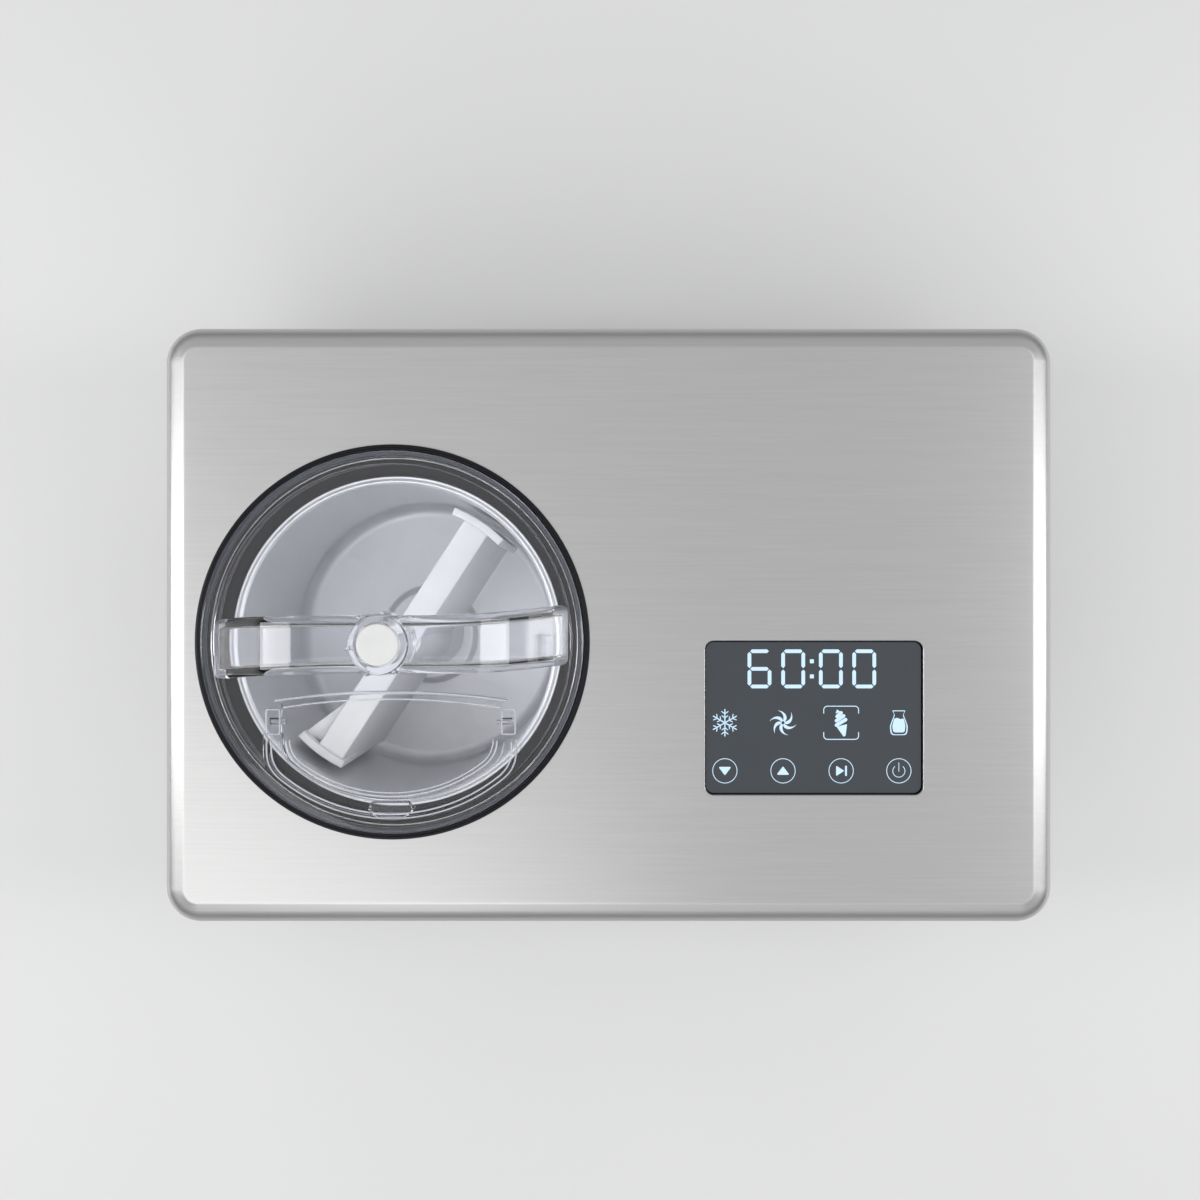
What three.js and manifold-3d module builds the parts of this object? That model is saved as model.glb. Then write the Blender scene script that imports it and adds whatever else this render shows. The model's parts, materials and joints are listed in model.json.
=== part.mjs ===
// Compressor ice cream maker: steel-topped body with a lift-out bowl, a driven paddle, a bayonet lid with an
// arched handle and a fill flap, and the cooling circuit, gearbox and electrics inside the body.
// Millimetres, +Z up, origin under the middle of the body on the surface that the feet stand on.
// +X is the display side, -Y is the front.
import * as THREE from 'three';
import { mergeVertices } from 'three/addons/utils/BufferGeometryUtils.js';
import Module from 'manifold-3d';

const wasm = await Module();
wasm.setup();

// ---------------------------------------------------------------- driving dimensions

const GAP = 0.3; // between pieces that touch on the real machine
const FINE = 36; // sides of a large round, a whole number in the lid's turn
const MEDIUM = 20; // sides of a hub or a can
const SMALL = 12; // sides of a pin or a screw

const BODY = { width: 425, depth: 285, corner: 17, top: 214, skin: 2 };
const TOP_RIM = [ // inset from the outer edge, and height, from the skirt up to the crease of the flat top
  [0, 203], [0.1, 205.6], [1.1, 208.6], [3.2, 211.2], [6.6, 212.9], [10.3, 214],
];
const WRAP = { inset: 1, bottom: 12.3, top: 202.6, wall: 2, windowX: 190, windowZ: [24, 190] };
const PANEL = { outer: 139.8, thickness: 2.4, play: 0.6, screwX: 181, screwZ: [34, 180] };
const SIDE_SLOTS = { rows: 8, from: 50, pitch: 13, height: 5, y: [-35, 75] };
const REAR_SLOTS = { columns: 9, from: 22, pitch: 13, width: 6, z: [82, 160] };
const FLOOR_SLOTS = { rows: 5, from: -20, pitch: 16, width: 6, x: [150, 200] };
const BASE = { bottom: 8, floor: 12, lip: 24, wall: 2.2 };
const FOOT = { x: 180, y: 112, radius: 13, counterbore: 5.2, bore: 2.8, seat: 3.6 };

const BOWL_AXIS = { x: -102.6, y: -7.9 };
const COLLAR = { flange: 93.7, body: 92.2, bore: 91, land: 88.4, lip: 78.6, lipTop: 194.4, bottom: 190.4 };
const LEDGE = 212; // step in the collar that the lid seal rests on
const WELL = { bore: 78.5, wall: 1.5, floor: 46, flange: 88, top: 190.1, opening: 10 };
const JACKET = { inner: 89.8, outer: 104, bottom: 48, top: 187.5 };
const COIL = { radius: 85.6, tube: 3.5, turns: 4, bottom: 68, pitch: 26, steps: 64 };
const BOWL = {
  outer: 77.2, inner: 76, rim: 80.2, roll: 2.3, top: 197, bottom: 49.6, floor: 51.2, fillet: 8,
};
const BOSS = { radius: 28.5, height: 6, tube: 8.6, bore: 6.4, top: 100 };

const LID = { radius: 90.6, top: 218, plate: 2.8, skirt: 87.9, skirtIn: 84.9, skirtBottom: 201 };
const LUG = { angles: [90, 210, 330], half: 4, play: 1, reach: 89.6, bottom: 203, top: 206, turn: 20 };
const FLAP = {
  rearY: -30.4, wingY: -46.5, tail: 51.4, wing: 57.3, radius: 81.7, bottom: 215.6, top: 218,
};
const HINGE = {
  y: -37.5, z: 216.8, block: [52, 58.8], half: 6, top: 220.2, bore: 1.9, pin: 1.2, pinEnd: 56.4,
};
const TRAY = { half: 61, rearY: -43.5, radius: 86 }; // thickened floor under the flap
const OPENING = { half: 52, rearY: -28.7, radius: 74.6 };
const RIB = { half: 55, y: -28.3, width: 1.4, height: 1.2 }; // behind the flap
const BOW = 4; // how far the flap's rear edge, the opening and the rib bulge to the rear in the middle
const TAB = { half: 11, frontY: -84, rootY: -80.5, rearY: -74, top: 221 };
const CHUTE = { half: 50, radius: 73, wall: 1.6, bottom: 209.5 };
const HANDLE = {
  span: 83.5, flat: 36, shoulder: 22, drop: 10, top: 258,
  depth: 7, skin: 3, rail: 4, width: 26, flare: 2.5, sway: 3.4,
};
const SOCKET = { outer: 13.5, bore: 10.2, bottom: 236, top: 261.4 };
const CAP = { radius: 9.5, top: 262, thickness: 3 };

const DISPLAY = {
  x: 97.6, y: -44, width: 103, depth: 72.6, corner: 4, top: 211.5, thickness: 2.8, play: 0.8,
};

const SHAFT = { radius: 5, bottom: 29.2, top: 114, square: 7.2 };
const GEARBOX = { floor: [26.5, 28.5], top: 43, cover: [43.3, 45.2], wall: 2.5 };
const OUTPUT = { teeth: 36, module: 2.5, levels: [36, 41.5] };
const IDLER_SMALL = { teeth: 10, module: 2.5, levels: [33.9, 41.5] };
const IDLER_LARGE = { teeth: 32, module: 1.75, levels: [29.2, 34] };
const PINION = { teeth: 10, module: 1.75, levels: [29.2, 34] };
const MOTOR = { radius: 30, bore: 3.2, depth: 7 };
const TRAIN = { first: -35, second: -10 }; // compass of the two gear centre lines, degrees

const PADDLE = { angle: 57, reach: 71, barTop: 176, barWidth: 14, skin: 3, foot: 58, lean: 4, hub: 12.5 };
const SCRAPER = { long: [-12.5, 11.5], short: [-7.5, 14.5] }; // from and to, degrees from the wing's bar
const WEB = { from: 38, to: 66, side: 16.6, levels: [168, 171] }; // gusset beside the short scraper

const COMPRESSOR = { x: 66, y: 62, radius: 56, bottom: 24, top: 158 };
const FAN = { x: 148, y: 20, z: 88, size: 120, depth: 24, duct: 55, hub: 19, blade: 51, blades: 7 };
const CONDENSER = { x: 191, y: 20, width: 24, length: 116, bottom: 29, fins: 12, pitch: 10 };
const DRYER = { x: 142, y: 112, radius: 9, bottom: 34, top: 120 };
const INLET = { x: -150, z: 46, width: 27, height: 19 };

// ---------------------------------------------------------------- finishes

const FINISH = {
  brushedSteel: [0xb9b9ba, 0.35, 1], darkSteel: [0x6f7276, 0.45, 0.9], blackPlastic: [0x17181a, 0.45, 0],
  rubber: [0x202022, 0.85, 0], screen: [0x465056, 0.25, 0.1], board: [0x1f5b39, 0.6, 0],
  aluminium: [0xa9abae, 0.4, 0.9], copper: [0xb36a3e, 0.35, 1], foam: [0xd9cfb0, 0.95, 0],
  acetal: [0xe6e4dc, 0.5, 0], clear: [0xdfe6ee, 0.08, 0], silicone: [0x5b6674, 0.6, 0],
  white: [0xf0f1f4, 0.4, 0], pot: [0x1b1c1f, 0.5, 0.3],
};

function finish(name) {
  const [color, roughness, metalness] = FINISH[name];
  return new THREE.MeshStandardMaterial({ color, roughness, metalness });
}

// ---------------------------------------------------------------- shape helpers

const radians = THREE.MathUtils.degToRad;

// A closed triangle mesh as a manifold solid, with its shared vertices merged and its slivers dropped.
function solid(geometry) {
  const bare = geometry.clone();
  bare.deleteAttribute('normal');
  bare.deleteAttribute('uv');
  const merged = mergeVertices(bare, 1e-4);
  const triVerts = [];
  const index = merged.index.array;
  for (let i = 0; i < index.length; i += 3) {
    const [a, b, c] = [index[i], index[i + 1], index[i + 2]];
    if (a !== b && b !== c && c !== a) triVerts.push(a, b, c);
  }
  const mesh = new wasm.Mesh({
    numProp: 3,
    vertProperties: new Float32Array(merged.attributes.position.array),
    triVerts: new Uint32Array(triVerts),
  });
  return new wasm.Manifold(mesh);
}

function geometryOf(manifold) {
  const mesh = manifold.getMesh();
  const geometry = new THREE.BufferGeometry();
  geometry.setAttribute('position', new THREE.BufferAttribute(new Float32Array(mesh.vertProperties), 3));
  geometry.setIndex(new THREE.BufferAttribute(new Uint32Array(mesh.triVerts), 1));
  geometry.computeVertexNormals();
  return geometry;
}

const join = (...pieces) => geometryOf(pieces.map(solid).reduce((whole, piece) => whole.add(piece)));

function cut(base, ...tools) {
  return geometryOf(tools.map(solid).reduce((whole, tool) => whole.subtract(tool), solid(base)));
}

// A box given by its low and high limits along each axis.
function block([x0, x1], [y0, y1], [z0, z1]) {
  return new THREE.BoxGeometry(x1 - x0, y1 - y0, z1 - z0)
    .translate((x0 + x1) / 2, (y0 + y1) / 2, (z0 + z1) / 2);
}

// An upright disc or pin between two heights.
function disc(radius, [z0, z1], x = 0, y = 0, sides = SMALL) {
  return new THREE.CylinderGeometry(radius, radius, z1 - z0, sides).rotateX(Math.PI / 2)
    .translate(x, y, (z0 + z1) / 2);
}

// A pin along X between two limits.
function crossPin(radius, [x0, x1], y, z, sides = SMALL) {
  return new THREE.CylinderGeometry(radius, radius, x1 - x0, sides).rotateZ(Math.PI / 2)
    .translate((x0 + x1) / 2, y, z);
}

// A turned piece about Z from [radius, height] points; an outline off the axis is closed on itself.
function turned(outline, sides = FINE) {
  const points = outline.map(([radius, height]) => new THREE.Vector2(radius, height));
  if (THREE.ShapeUtils.isClockWise(points)) points.reverse();
  const openAt = points.findIndex((p, i) => p.x === 0 && points[(i + 1) % points.length].x === 0);
  if (openAt >= 0) points.push(...points.splice(0, openAt + 1));
  else points.push(points[0].clone());
  return new THREE.LatheGeometry(points, sides).rotateX(Math.PI / 2);
}

function extruded(shape, [z0, z1], curveSegments = 6) {
  return new THREE.ExtrudeGeometry(shape, { depth: z1 - z0, bevelEnabled: false, curveSegments })
    .translate(0, 0, z0);
}

function outlineOf(points) {
  return new THREE.Shape(points.map(([x, y]) => new THREE.Vector2(x, y)));
}

// The points of a rectangle with round corners, anticlockwise.
function roundedRectangle(width, depth, radius, steps = 4) {
  const points = [];
  for (let corner = 0; corner < 4; corner += 1) {
    const signX = corner === 0 || corner === 3 ? 1 : -1;
    const signY = corner < 2 ? 1 : -1;
    for (let step = 0; step <= steps; step += 1) {
      const angle = (corner + step / steps) * Math.PI / 2;
      points.push([
        signX * (width / 2 - radius) + radius * Math.cos(angle),
        signY * (depth / 2 - radius) + radius * Math.sin(angle),
      ]);
    }
  }
  return points;
}

// A solid slab with round corners between two heights.
function slab(width, depth, radius, levels, x = 0, y = 0) {
  return extruded(outlineOf(roundedRectangle(width, depth, radius)), levels).translate(x, y, 0);
}

// A closed body through rings of points that follow each other, with both ends capped.
function lofted(rings) {
  const count = rings[0].length;
  const positions = rings.flat().flatMap((p) => [p.x, p.y, p.z]);
  const index = [];
  for (let row = 0; row + 1 < rings.length; row += 1) {
    for (let i = 0; i < count; i += 1) {
      const next = (i + 1) % count;
      const [here, above] = [row * count, (row + 1) * count];
      const [a, b, c, d] = [here + i, here + next, above + next, above + i];
      index.push(a, b, c, a, c, d);
    }
  }
  const last = (rings.length - 1) * count;
  for (const [a, b, c] of capTriangles(rings[0])) index.push(c, b, a);
  for (const [a, b, c] of capTriangles(rings[rings.length - 1])) index.push(last + a, last + b, last + c);
  const geometry = new THREE.BufferGeometry();
  geometry.setAttribute('position', new THREE.Float32BufferAttribute(positions, 3));
  geometry.setIndex(index);
  geometry.computeVertexNormals();
  return geometry;
}

// Triangles that fill a flat ring, turned the way that the ring itself turns.
function capTriangles(ring) {
  const normal = new THREE.Vector3();
  ring.forEach((p, i) => normal.add(new THREE.Vector3().crossVectors(p, ring[(i + 1) % ring.length])));
  const turn = new THREE.Quaternion().setFromUnitVectors(normal.normalize(), new THREE.Vector3(0, 0, 1));
  const flat = ring.map((p) => p.clone().applyQuaternion(turn)).map((p) => new THREE.Vector2(p.x, p.y));
  return THREE.ShapeUtils.triangulateShape(flat, []);
}

// Part of a ring between two radii, two heights and two angles in degrees.
function ringSector(inner, outer, levels, fromAngle, toAngle) {
  const shape = new THREE.Shape();
  shape.absarc(0, 0, outer, radians(fromAngle), radians(toAngle), false);
  shape.absarc(0, 0, inner, radians(toAngle), radians(fromAngle), true);
  return extruded(shape, levels, 3);
}

// A round tube along a smooth line through points.
function tubeAlong(points, radius, steps, sides = 6) {
  const places = points.map(([x, y, z]) => new THREE.Vector3(x, y, z));
  return sweptRound(new THREE.CatmullRomCurve3(places, false, 'centripetal'), radius, steps, sides);
}

function sweptRound(path, radius, steps, sides) {
  const section = new THREE.Shape();
  for (let i = 0; i < sides; i += 1) {
    const angle = (i / sides) * Math.PI * 2;
    const point = [radius * Math.cos(angle), radius * Math.sin(angle)];
    if (i === 0) section.moveTo(...point);
    else section.lineTo(...point);
  }
  return new THREE.ExtrudeGeometry(section, { steps, bevelEnabled: false, extrudePath: path });
}

// ---------------------------------------------------------------- the assembly

const machine = new THREE.Group();
const bowlGroup = new THREE.Group();
bowlGroup.position.set(BOWL_AXIS.x, BOWL_AXIS.y, 0);
machine.add(bowlGroup);

function addPart(name, geometry, finishName, parent = machine) {
  const mesh = new THREE.Mesh(geometry, finish(finishName));
  mesh.name = name;
  parent.add(mesh);
  return mesh;
}

// ---- housing

function topPlate() {
  const shell = (shrink, drop) => lofted(TOP_RIM.map(([inset, z]) => {
    const [width, depth] = [BODY.width - 2 * (inset + shrink), BODY.depth - 2 * (inset + shrink)];
    const corner = Math.max(BODY.corner - inset - shrink, 5);
    return roundedRectangle(width, depth, corner).map(([x, y]) => new THREE.Vector3(x, y, z - drop));
  }));
  const hole = disc(COLLAR.body + 2 * GAP, [180, 230], BOWL_AXIS.x, BOWL_AXIS.y, FINE);
  const { width, depth, corner, play, x, y } = DISPLAY;
  const window = slab(width + 2 * play, depth + 2 * play, corner + play, [180, 230], x, y);
  return cut(shell(0, 0), shell(BODY.skin, BODY.skin), hole, window);
}

// Two distances from the middle along X, on one side of it, in rising order.
function span(side, near, far) {
  return [side * near, side * far].sort((a, b) => a - b);
}

function bodyWrap() {
  const [width, depth] = [BODY.width - 2 * WRAP.inset, BODY.depth - 2 * WRAP.inset];
  const corner = BODY.corner - WRAP.inset;
  const outside = slab(width, depth, corner, [WRAP.bottom, WRAP.top]);
  const inside = slab(width - 2 * WRAP.wall, depth - 2 * WRAP.wall, corner - WRAP.wall, [0, 230]);
  const window = block([-WRAP.windowX, WRAP.windowX], [130, 150], WRAP.windowZ);
  const slots = [];
  for (let row = 0; row < SIDE_SLOTS.rows; row += 1) {
    const z = SIDE_SLOTS.from + row * SIDE_SLOTS.pitch;
    slots.push(block([-BODY.width, BODY.width], SIDE_SLOTS.y, [z, z + SIDE_SLOTS.height]));
  }
  const tabs = [];
  const panelBack = PANEL.outer - PANEL.thickness;
  for (const side of [-1, 1]) {
    for (const z of PANEL.screwZ) {
      const levels = [z - 9, z + 9];
      tabs.push(block(span(side, 172, 200), [panelBack - 2.8, panelBack - GAP], levels));
      tabs.push(block(span(side, 190.6, 200), [panelBack - 0.6, PANEL.outer + 0.2], levels));
    }
  }
  return join(cut(outside, inside, window, ...slots), ...tabs);
}

function rearPanel() {
  const reach = WRAP.windowX - PANEL.play;
  const [low, high] = [WRAP.windowZ[0] + PANEL.play, WRAP.windowZ[1] - PANEL.play];
  const plate = block([-reach, reach], [PANEL.outer - PANEL.thickness, PANEL.outer], [low, high]);
  const holes = [];
  for (let column = 0; column < REAR_SLOTS.columns; column += 1) {
    const x = REAR_SLOTS.from + column * REAR_SLOTS.pitch;
    holes.push(block([x, x + REAR_SLOTS.width], [130, 150], REAR_SLOTS.z));
  }
  const { x, z } = INLET;
  const [halfX, halfZ] = [INLET.width / 2 + 0.4, INLET.height / 2 + 0.4];
  holes.push(block([x - halfX, x + halfX], [130, 150], [z - halfZ, z + halfZ]));
  for (const [sx, sz] of rearScrewPlaces()) {
    holes.push(new THREE.CylinderGeometry(2.2, 2.2, 20, SMALL).translate(sx, 140, sz));
  }
  return cut(plate, ...holes);
}

function rearScrewPlaces() {
  return PANEL.screwZ.flatMap((z) => [[-PANEL.screwX, z], [PANEL.screwX, z]]);
}

function rearScrew() {
  return turned([[0, 0], [3.8, 0], [3, 2], [0, 2]], SMALL);
}

function baseTray() {
  const [width, depth] = [BODY.width - 2 * WRAP.inset, BODY.depth - 2 * WRAP.inset];
  const corner = BODY.corner - WRAP.inset;
  const lip = 2 * (WRAP.wall + 0.6);
  const upstand = slab(width - lip, depth - lip, corner - lip / 2, [BASE.floor - 1, BASE.lip]);
  const hollow = lip + 2 * BASE.wall;
  const inside = slab(width - hollow, depth - hollow, corner - hollow / 2, [BASE.floor, 40]);
  const holes = footPlaces().map(([x, y]) => disc(2.4, [0, 40], x, y));
  for (let row = 0; row < FLOOR_SLOTS.rows; row += 1) {
    const y = FLOOR_SLOTS.from + row * FLOOR_SLOTS.pitch;
    holes.push(block(FLOOR_SLOTS.x, [y, y + FLOOR_SLOTS.width], [0, 40]));
  }
  return cut(join(slab(width, depth, corner, [BASE.bottom, BASE.floor]), upstand), inside, ...holes);
}

function footPlaces() {
  const { x, y } = FOOT;
  return [[-x, -y], [x, -y], [-x, y], [x, y]];
}

function foot() {
  const top = BASE.bottom - GAP;
  const { radius, counterbore, bore, seat } = FOOT;
  return turned([[counterbore, 0], [radius - 1, 0], [radius, top], [bore, top], [bore, seat],
    [counterbore, seat]], SMALL);
}

function footScrew() {
  return turned([[0, 1.2], [4.4, 1.6], [4.4, 3.3], [1.9, 3.3], [1.9, 15], [0, 15]], 8);
}

function housing() {
  addPart('top_plate', topPlate(), 'brushedSteel');
  addPart('body_wrap', bodyWrap(), 'brushedSteel');
  addPart('rear_panel', rearPanel(), 'blackPlastic');
  addPart('base_tray', baseTray(), 'blackPlastic');
  footPlaces().forEach(([x, y], i) => {
    addPart(`foot_${i + 1}`, foot(), 'rubber').position.set(x, y, 0);
    addPart(`foot_screw_${i + 1}`, footScrew(), 'darkSteel').position.set(x, y, 0);
  });
  rearScrewPlaces().forEach(([x, z], i) => {
    const screw = addPart(`rear_screw_${i + 1}`, rearScrew(), 'darkSteel');
    screw.position.set(x, PANEL.outer + GAP, z);
    screw.rotation.x = -Math.PI / 2;
  });
}

// ---- display

function display() {
  const { x, y, width, depth, corner, top, thickness, play } = DISPLAY;
  const glassBottom = top - thickness;
  addPart('display_glass', slab(width, depth, corner, [glassBottom, top], x, y), 'screen');
  const rim = slab(width + 11, depth + 11, corner + 5, [198, top + 0.2], x, y);
  const pocket = slab(width + 2 * play, depth + 2 * play, corner + play, [glassBottom - GAP, 230], x, y);
  const well = slab(width - 8, depth - 8, corner, [200, 230], x, y);
  addPart('display_housing', cut(rim, pocket, well), 'blackPlastic');
  const board = slab(width - 10, depth - 10, 2, [202, 203.6], x, y);
  const chip = block([x - 9, x + 9], [y - 6, y + 6], [203.5, 205.6]);
  const plug = block([x + 26, x + 40], [y - 24, y - 18], [203.5, 207]);
  addPart('display_board', join(board, chip, plug), 'board');
}

// ---- cold well

function collarRing() {
  const { flange, body, bore, land, lip, lipTop, bottom } = COLLAR;
  const seat = BODY.top + GAP;
  const rim = seat + 1.3;
  const ring = turned([[flange, seat], [flange - 0.3, rim], [bore, rim], [bore, LEDGE], [land, LEDGE],
    [land, lipTop], [lip, lipTop], [lip, bottom], [body, bottom], [body, seat]]);
  const slots = [];
  for (const angle of LUG.angles) {
    const [from, to] = [angle - LUG.half - LUG.play, angle + LUG.half + LUG.play];
    const [inner, outer, low] = [land - 2, LUG.reach + 0.9, LUG.bottom - 0.6];
    slots.push(ringSector(inner, outer, [low, LEDGE + 0.5], from, to));
    slots.push(ringSector(inner, outer, [low, LUG.top + 0.6], from - LUG.turn, to));
  }
  return cut(ring, ...slots);
}

function evaporatorWell() {
  const { bore, wall, floor, flange, top, opening } = WELL;
  return turned([[opening, floor], [bore + wall, floor], [bore + wall, top - wall], [flange, top - wall],
    [flange, top], [bore, top], [bore, floor + wall], [opening, floor + wall]]);
}

class CoilPath extends THREE.Curve {
  getPoint(t, target = new THREE.Vector3()) {
    const angle = (t * COIL.turns + 1 / 12) * Math.PI * 2;
    const z = COIL.bottom + t * COIL.turns * COIL.pitch;
    return target.set(COIL.radius * Math.cos(angle), COIL.radius * Math.sin(angle), z);
  }
}

function insulationJacket() {
  const { inner, outer, bottom, top } = JACKET;
  const ring = turned([
    [inner, bottom], [outer - 4, bottom], [outer, bottom + 4], [outer, top], [inner, top],
  ]);
  const port = (z) => new THREE.CylinderGeometry(5, 5, 40, 12).rotateZ(Math.PI / 2)
    .translate(inner + 10, 0, z).rotateZ(radians(30));
  return cut(ring, port(COIL.bottom), port(COIL.bottom + COIL.turns * COIL.pitch));
}

function mixingBowl() {
  const { outer, inner, rim, roll, top, bottom, floor, fillet } = BOWL;
  const round = (radius, height, angle) => [
    radius - fillet + fillet * Math.sin(radians(angle)),
    height + fillet - fillet * Math.cos(radians(angle)),
  ];
  const section = [[BOSS.bore, bottom], ...[0, 45, 90].map((angle) => round(outer, bottom, angle))];
  section.push([outer, top - roll], [rim, top - roll], [rim, top], [inner, top]);
  section.push(...[90, 45, 0].map((angle) => round(inner, floor, angle)));
  const crown = floor + BOSS.height;
  section.push([BOSS.radius, floor], [BOSS.radius - 3, crown], [BOSS.tube, crown], [BOSS.tube, BOSS.top]);
  section.push([BOSS.bore, BOSS.top]);
  return turned(section);
}

function coldWell() {
  addPart('collar_ring', collarRing(), 'blackPlastic', bowlGroup);
  addPart('evaporator_well', evaporatorWell(), 'aluminium', bowlGroup);
  addPart('evaporator_coil', sweptRound(new CoilPath(), COIL.tube, COIL.steps, 6), 'copper', bowlGroup);
  addPart('insulation_jacket', insulationJacket(), 'foam', bowlGroup);
  addPart('mixing_bowl', mixingBowl(), 'aluminium', bowlGroup);
}

// ---- paddle

// One wing along +X: a level bar, a blade that leans out under it, and a curved scraper at the tip.
function paddleWing(scraperAngles) {
  const { reach, barTop, barWidth, skin, foot: low, lean } = PADDLE;
  const bar = block([0, reach - 3], [-barWidth / 2, barWidth / 2], [barTop - skin, barTop]);
  const bladeTop = barTop - 1;
  const edge = -barWidth / 2 + skin;
  const ringAt = (z) => {
    const y = edge - lean * (bladeTop - z) / (bladeTop - low);
    const tip = Math.sqrt((reach - 1.5) ** 2 - (y - skin) ** 2) - 1;
    const corners = [[2, y], [2, y - skin], [tip, y - skin], [tip, y]];
    return corners.map(([px, py]) => new THREE.Vector3(px, py, z));
  };
  const blade = lofted([ringAt(low), ringAt(bladeTop)]);
  const scraper = ringSector(reach - 4, reach, [low, barTop + skin], ...scraperAngles);
  return join(bar, flipIfInside(blade), scraper);
}

// The other wing: the first one mirrored, with its own scraper and a gusset on the far side of the bar.
function mirroredWing() {
  const { from, to, side, levels } = WEB;
  const inside = PADDLE.barWidth / 2 - 1;
  const web = extruded(outlineOf([[from, inside], [to, inside], [to, side]]), levels);
  const bracket = block([from + 6, to], [inside - 2, inside + 0.5], [levels[0], PADDLE.barTop - 1]);
  return flipped(join(paddleWing(SCRAPER.short), web, bracket).scale(-1, 1, 1));
}

// The same mesh with every triangle turned over.
function flipped(geometry) {
  const index = geometry.index.array;
  for (let i = 0; i < index.length; i += 3) [index[i + 1], index[i + 2]] = [index[i + 2], index[i + 1]];
  return geometry;
}

function flipIfInside(geometry) {
  const p = geometry.attributes.position;
  const index = geometry.index.array;
  const [a, b, c] = [new THREE.Vector3(), new THREE.Vector3(), new THREE.Vector3()];
  let volume = 0;
  for (let i = 0; i < index.length; i += 3) {
    volume += a.fromBufferAttribute(p, index[i]).dot(b.fromBufferAttribute(p, index[i + 1])
      .cross(c.fromBufferAttribute(p, index[i + 2])));
  }
  return volume < 0 ? flipped(geometry) : geometry;
}

function paddle() {
  const { angle, hub, barTop } = PADDLE;
  const crown = BOWL.floor + BOSS.height;
  const sleeve = turned([[0, crown + 1.6], [19, crown + 1.6], [19, crown + 4], [hub + 1.5, crown + 14],
    [hub, 96], [hub, 124], [9, barTop - 1], [0, barTop - 1]], MEDIUM);
  const bore = disc(BOSS.tube + 0.8, [0, BOSS.top + 2], 0, 0, MEDIUM);
  const drive = block([-4.2, 4.2], [-4.2, 4.2], [BOSS.top, SHAFT.top + 1.5]).rotateZ(radians(-angle));
  const whole = join(sleeve, paddleWing(SCRAPER.long), mirroredWing());
  return cut(whole, bore, drive).rotateZ(radians(angle));
}

// ---- lid

// The outline of a piece of the lid's front: straight sides from yRear, then an arc about the lid's axis.
// The rear edge is straight, or bulges to the rear by bow.
function frontOutline(half, yRear, radius, bow = 0) {
  const shape = new THREE.Shape();
  const yFront = -Math.sqrt(radius ** 2 - half ** 2);
  const start = Math.atan2(yFront, -half);
  shape.moveTo(-half, yRear);
  shape.lineTo(-half, yFront);
  shape.absarc(0, 0, radius, start, -Math.PI - start, false);
  shape.lineTo(half, yRear);
  if (bow) shape.quadraticCurveTo(0, yRear + 2 * bow, -half, yRear);
  return shape;
}

function lidDisc() {
  const { radius, top, plate, skirt, skirtIn, skirtBottom } = LID;
  const under = top - plate;
  const disk = turned([[0, top], [radius - 1.2, top], [radius, top - 1.2], [radius, BODY.top],
    [skirt, BODY.top], [skirt, skirtBottom], [skirtIn, skirtBottom], [skirtIn, under], [0, under]]);
  const tray = extruded(frontOutline(TRAY.half, TRAY.rearY, TRAY.radius), [under - plate, under + 1]);
  const around = 0.75; // play round the flap
  const recessOutline = frontOutline(FLAP.wing + around, FLAP.wingY + around, FLAP.radius + around);
  const recess = extruded(recessOutline, [under, 230]);
  const opening = extruded(frontOutline(OPENING.half, OPENING.rearY, OPENING.radius, BOW), [190, 230]);
  const pieces = [disk, tray, arcRib([top - 1, top + RIB.height])];
  const lugRoot = skirt - 1.5;
  for (const angle of LUG.angles) {
    const [from, to] = [angle - LUG.half, angle + LUG.half];
    pieces.push(ringSector(lugRoot, LUG.reach, [LUG.bottom, LUG.top], from, to));
  }
  const bores = [];
  for (const side of [-1, 1]) {
    const across = [HINGE.y - HINGE.half, HINGE.y + HINGE.half];
    pieces.push(block(span(side, ...HINGE.block), across, [under + 0.2, HINGE.top]));
    const depth = span(side, HINGE.block[0] - 2, HINGE.pinEnd + 0.8);
    bores.push(crossPin(HINGE.bore, depth, HINGE.y, HINGE.z));
  }
  return cut(join(...pieces), recess, opening, ...bores);
}

// A low rib along the bowed line across the lid.
function arcRib(levels) {
  const { half, y, width } = RIB;
  const points = [];
  const at = (share, back) => [half * share, y + back + BOW * (1 - (half * share / OPENING.half) ** 2)];
  for (let i = 0; i <= 8; i += 1) points.push(at(i / 4 - 1, 0));
  for (let i = 8; i >= 0; i -= 1) points.push(at(i / 4 - 1, width));
  return extruded(outlineOf(points), levels);
}

// The flap's chute wall runs down both sides and round the front, and is open at the rear.
function fillFlap() {
  const { rearY, wingY, tail, wing, radius, bottom, top } = FLAP;
  const plate = extruded(frontOutline(wing, wingY, radius), [bottom, top]);
  const rear = extruded(frontOutline(tail, rearY, CHUTE.radius, BOW), [bottom, top]);
  const chute = extruded(frontOutline(CHUTE.half, wingY - 0.5, CHUTE.radius), [CHUTE.bottom, bottom + 0.5]);
  const inner = CHUTE.half - CHUTE.wall;
  const hollow = extruded(frontOutline(inner, wingY + 1, CHUTE.radius - CHUTE.wall),
    [CHUTE.bottom - 1, bottom]);
  const tab = block([-TAB.half, TAB.half], [TAB.frontY, TAB.rearY], [top + 0.5, TAB.top]);
  const root = block([-TAB.half, TAB.half], [TAB.rootY, TAB.rearY], [top - 1, TAB.top]);
  const pin = (side) => crossPin(HINGE.pin, span(side, tail - 2, HINGE.pinEnd), HINGE.y, HINGE.z);
  return join(cut(join(plate, rear, chute), hollow), tab, root, pin(-1), pin(1));
}

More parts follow.
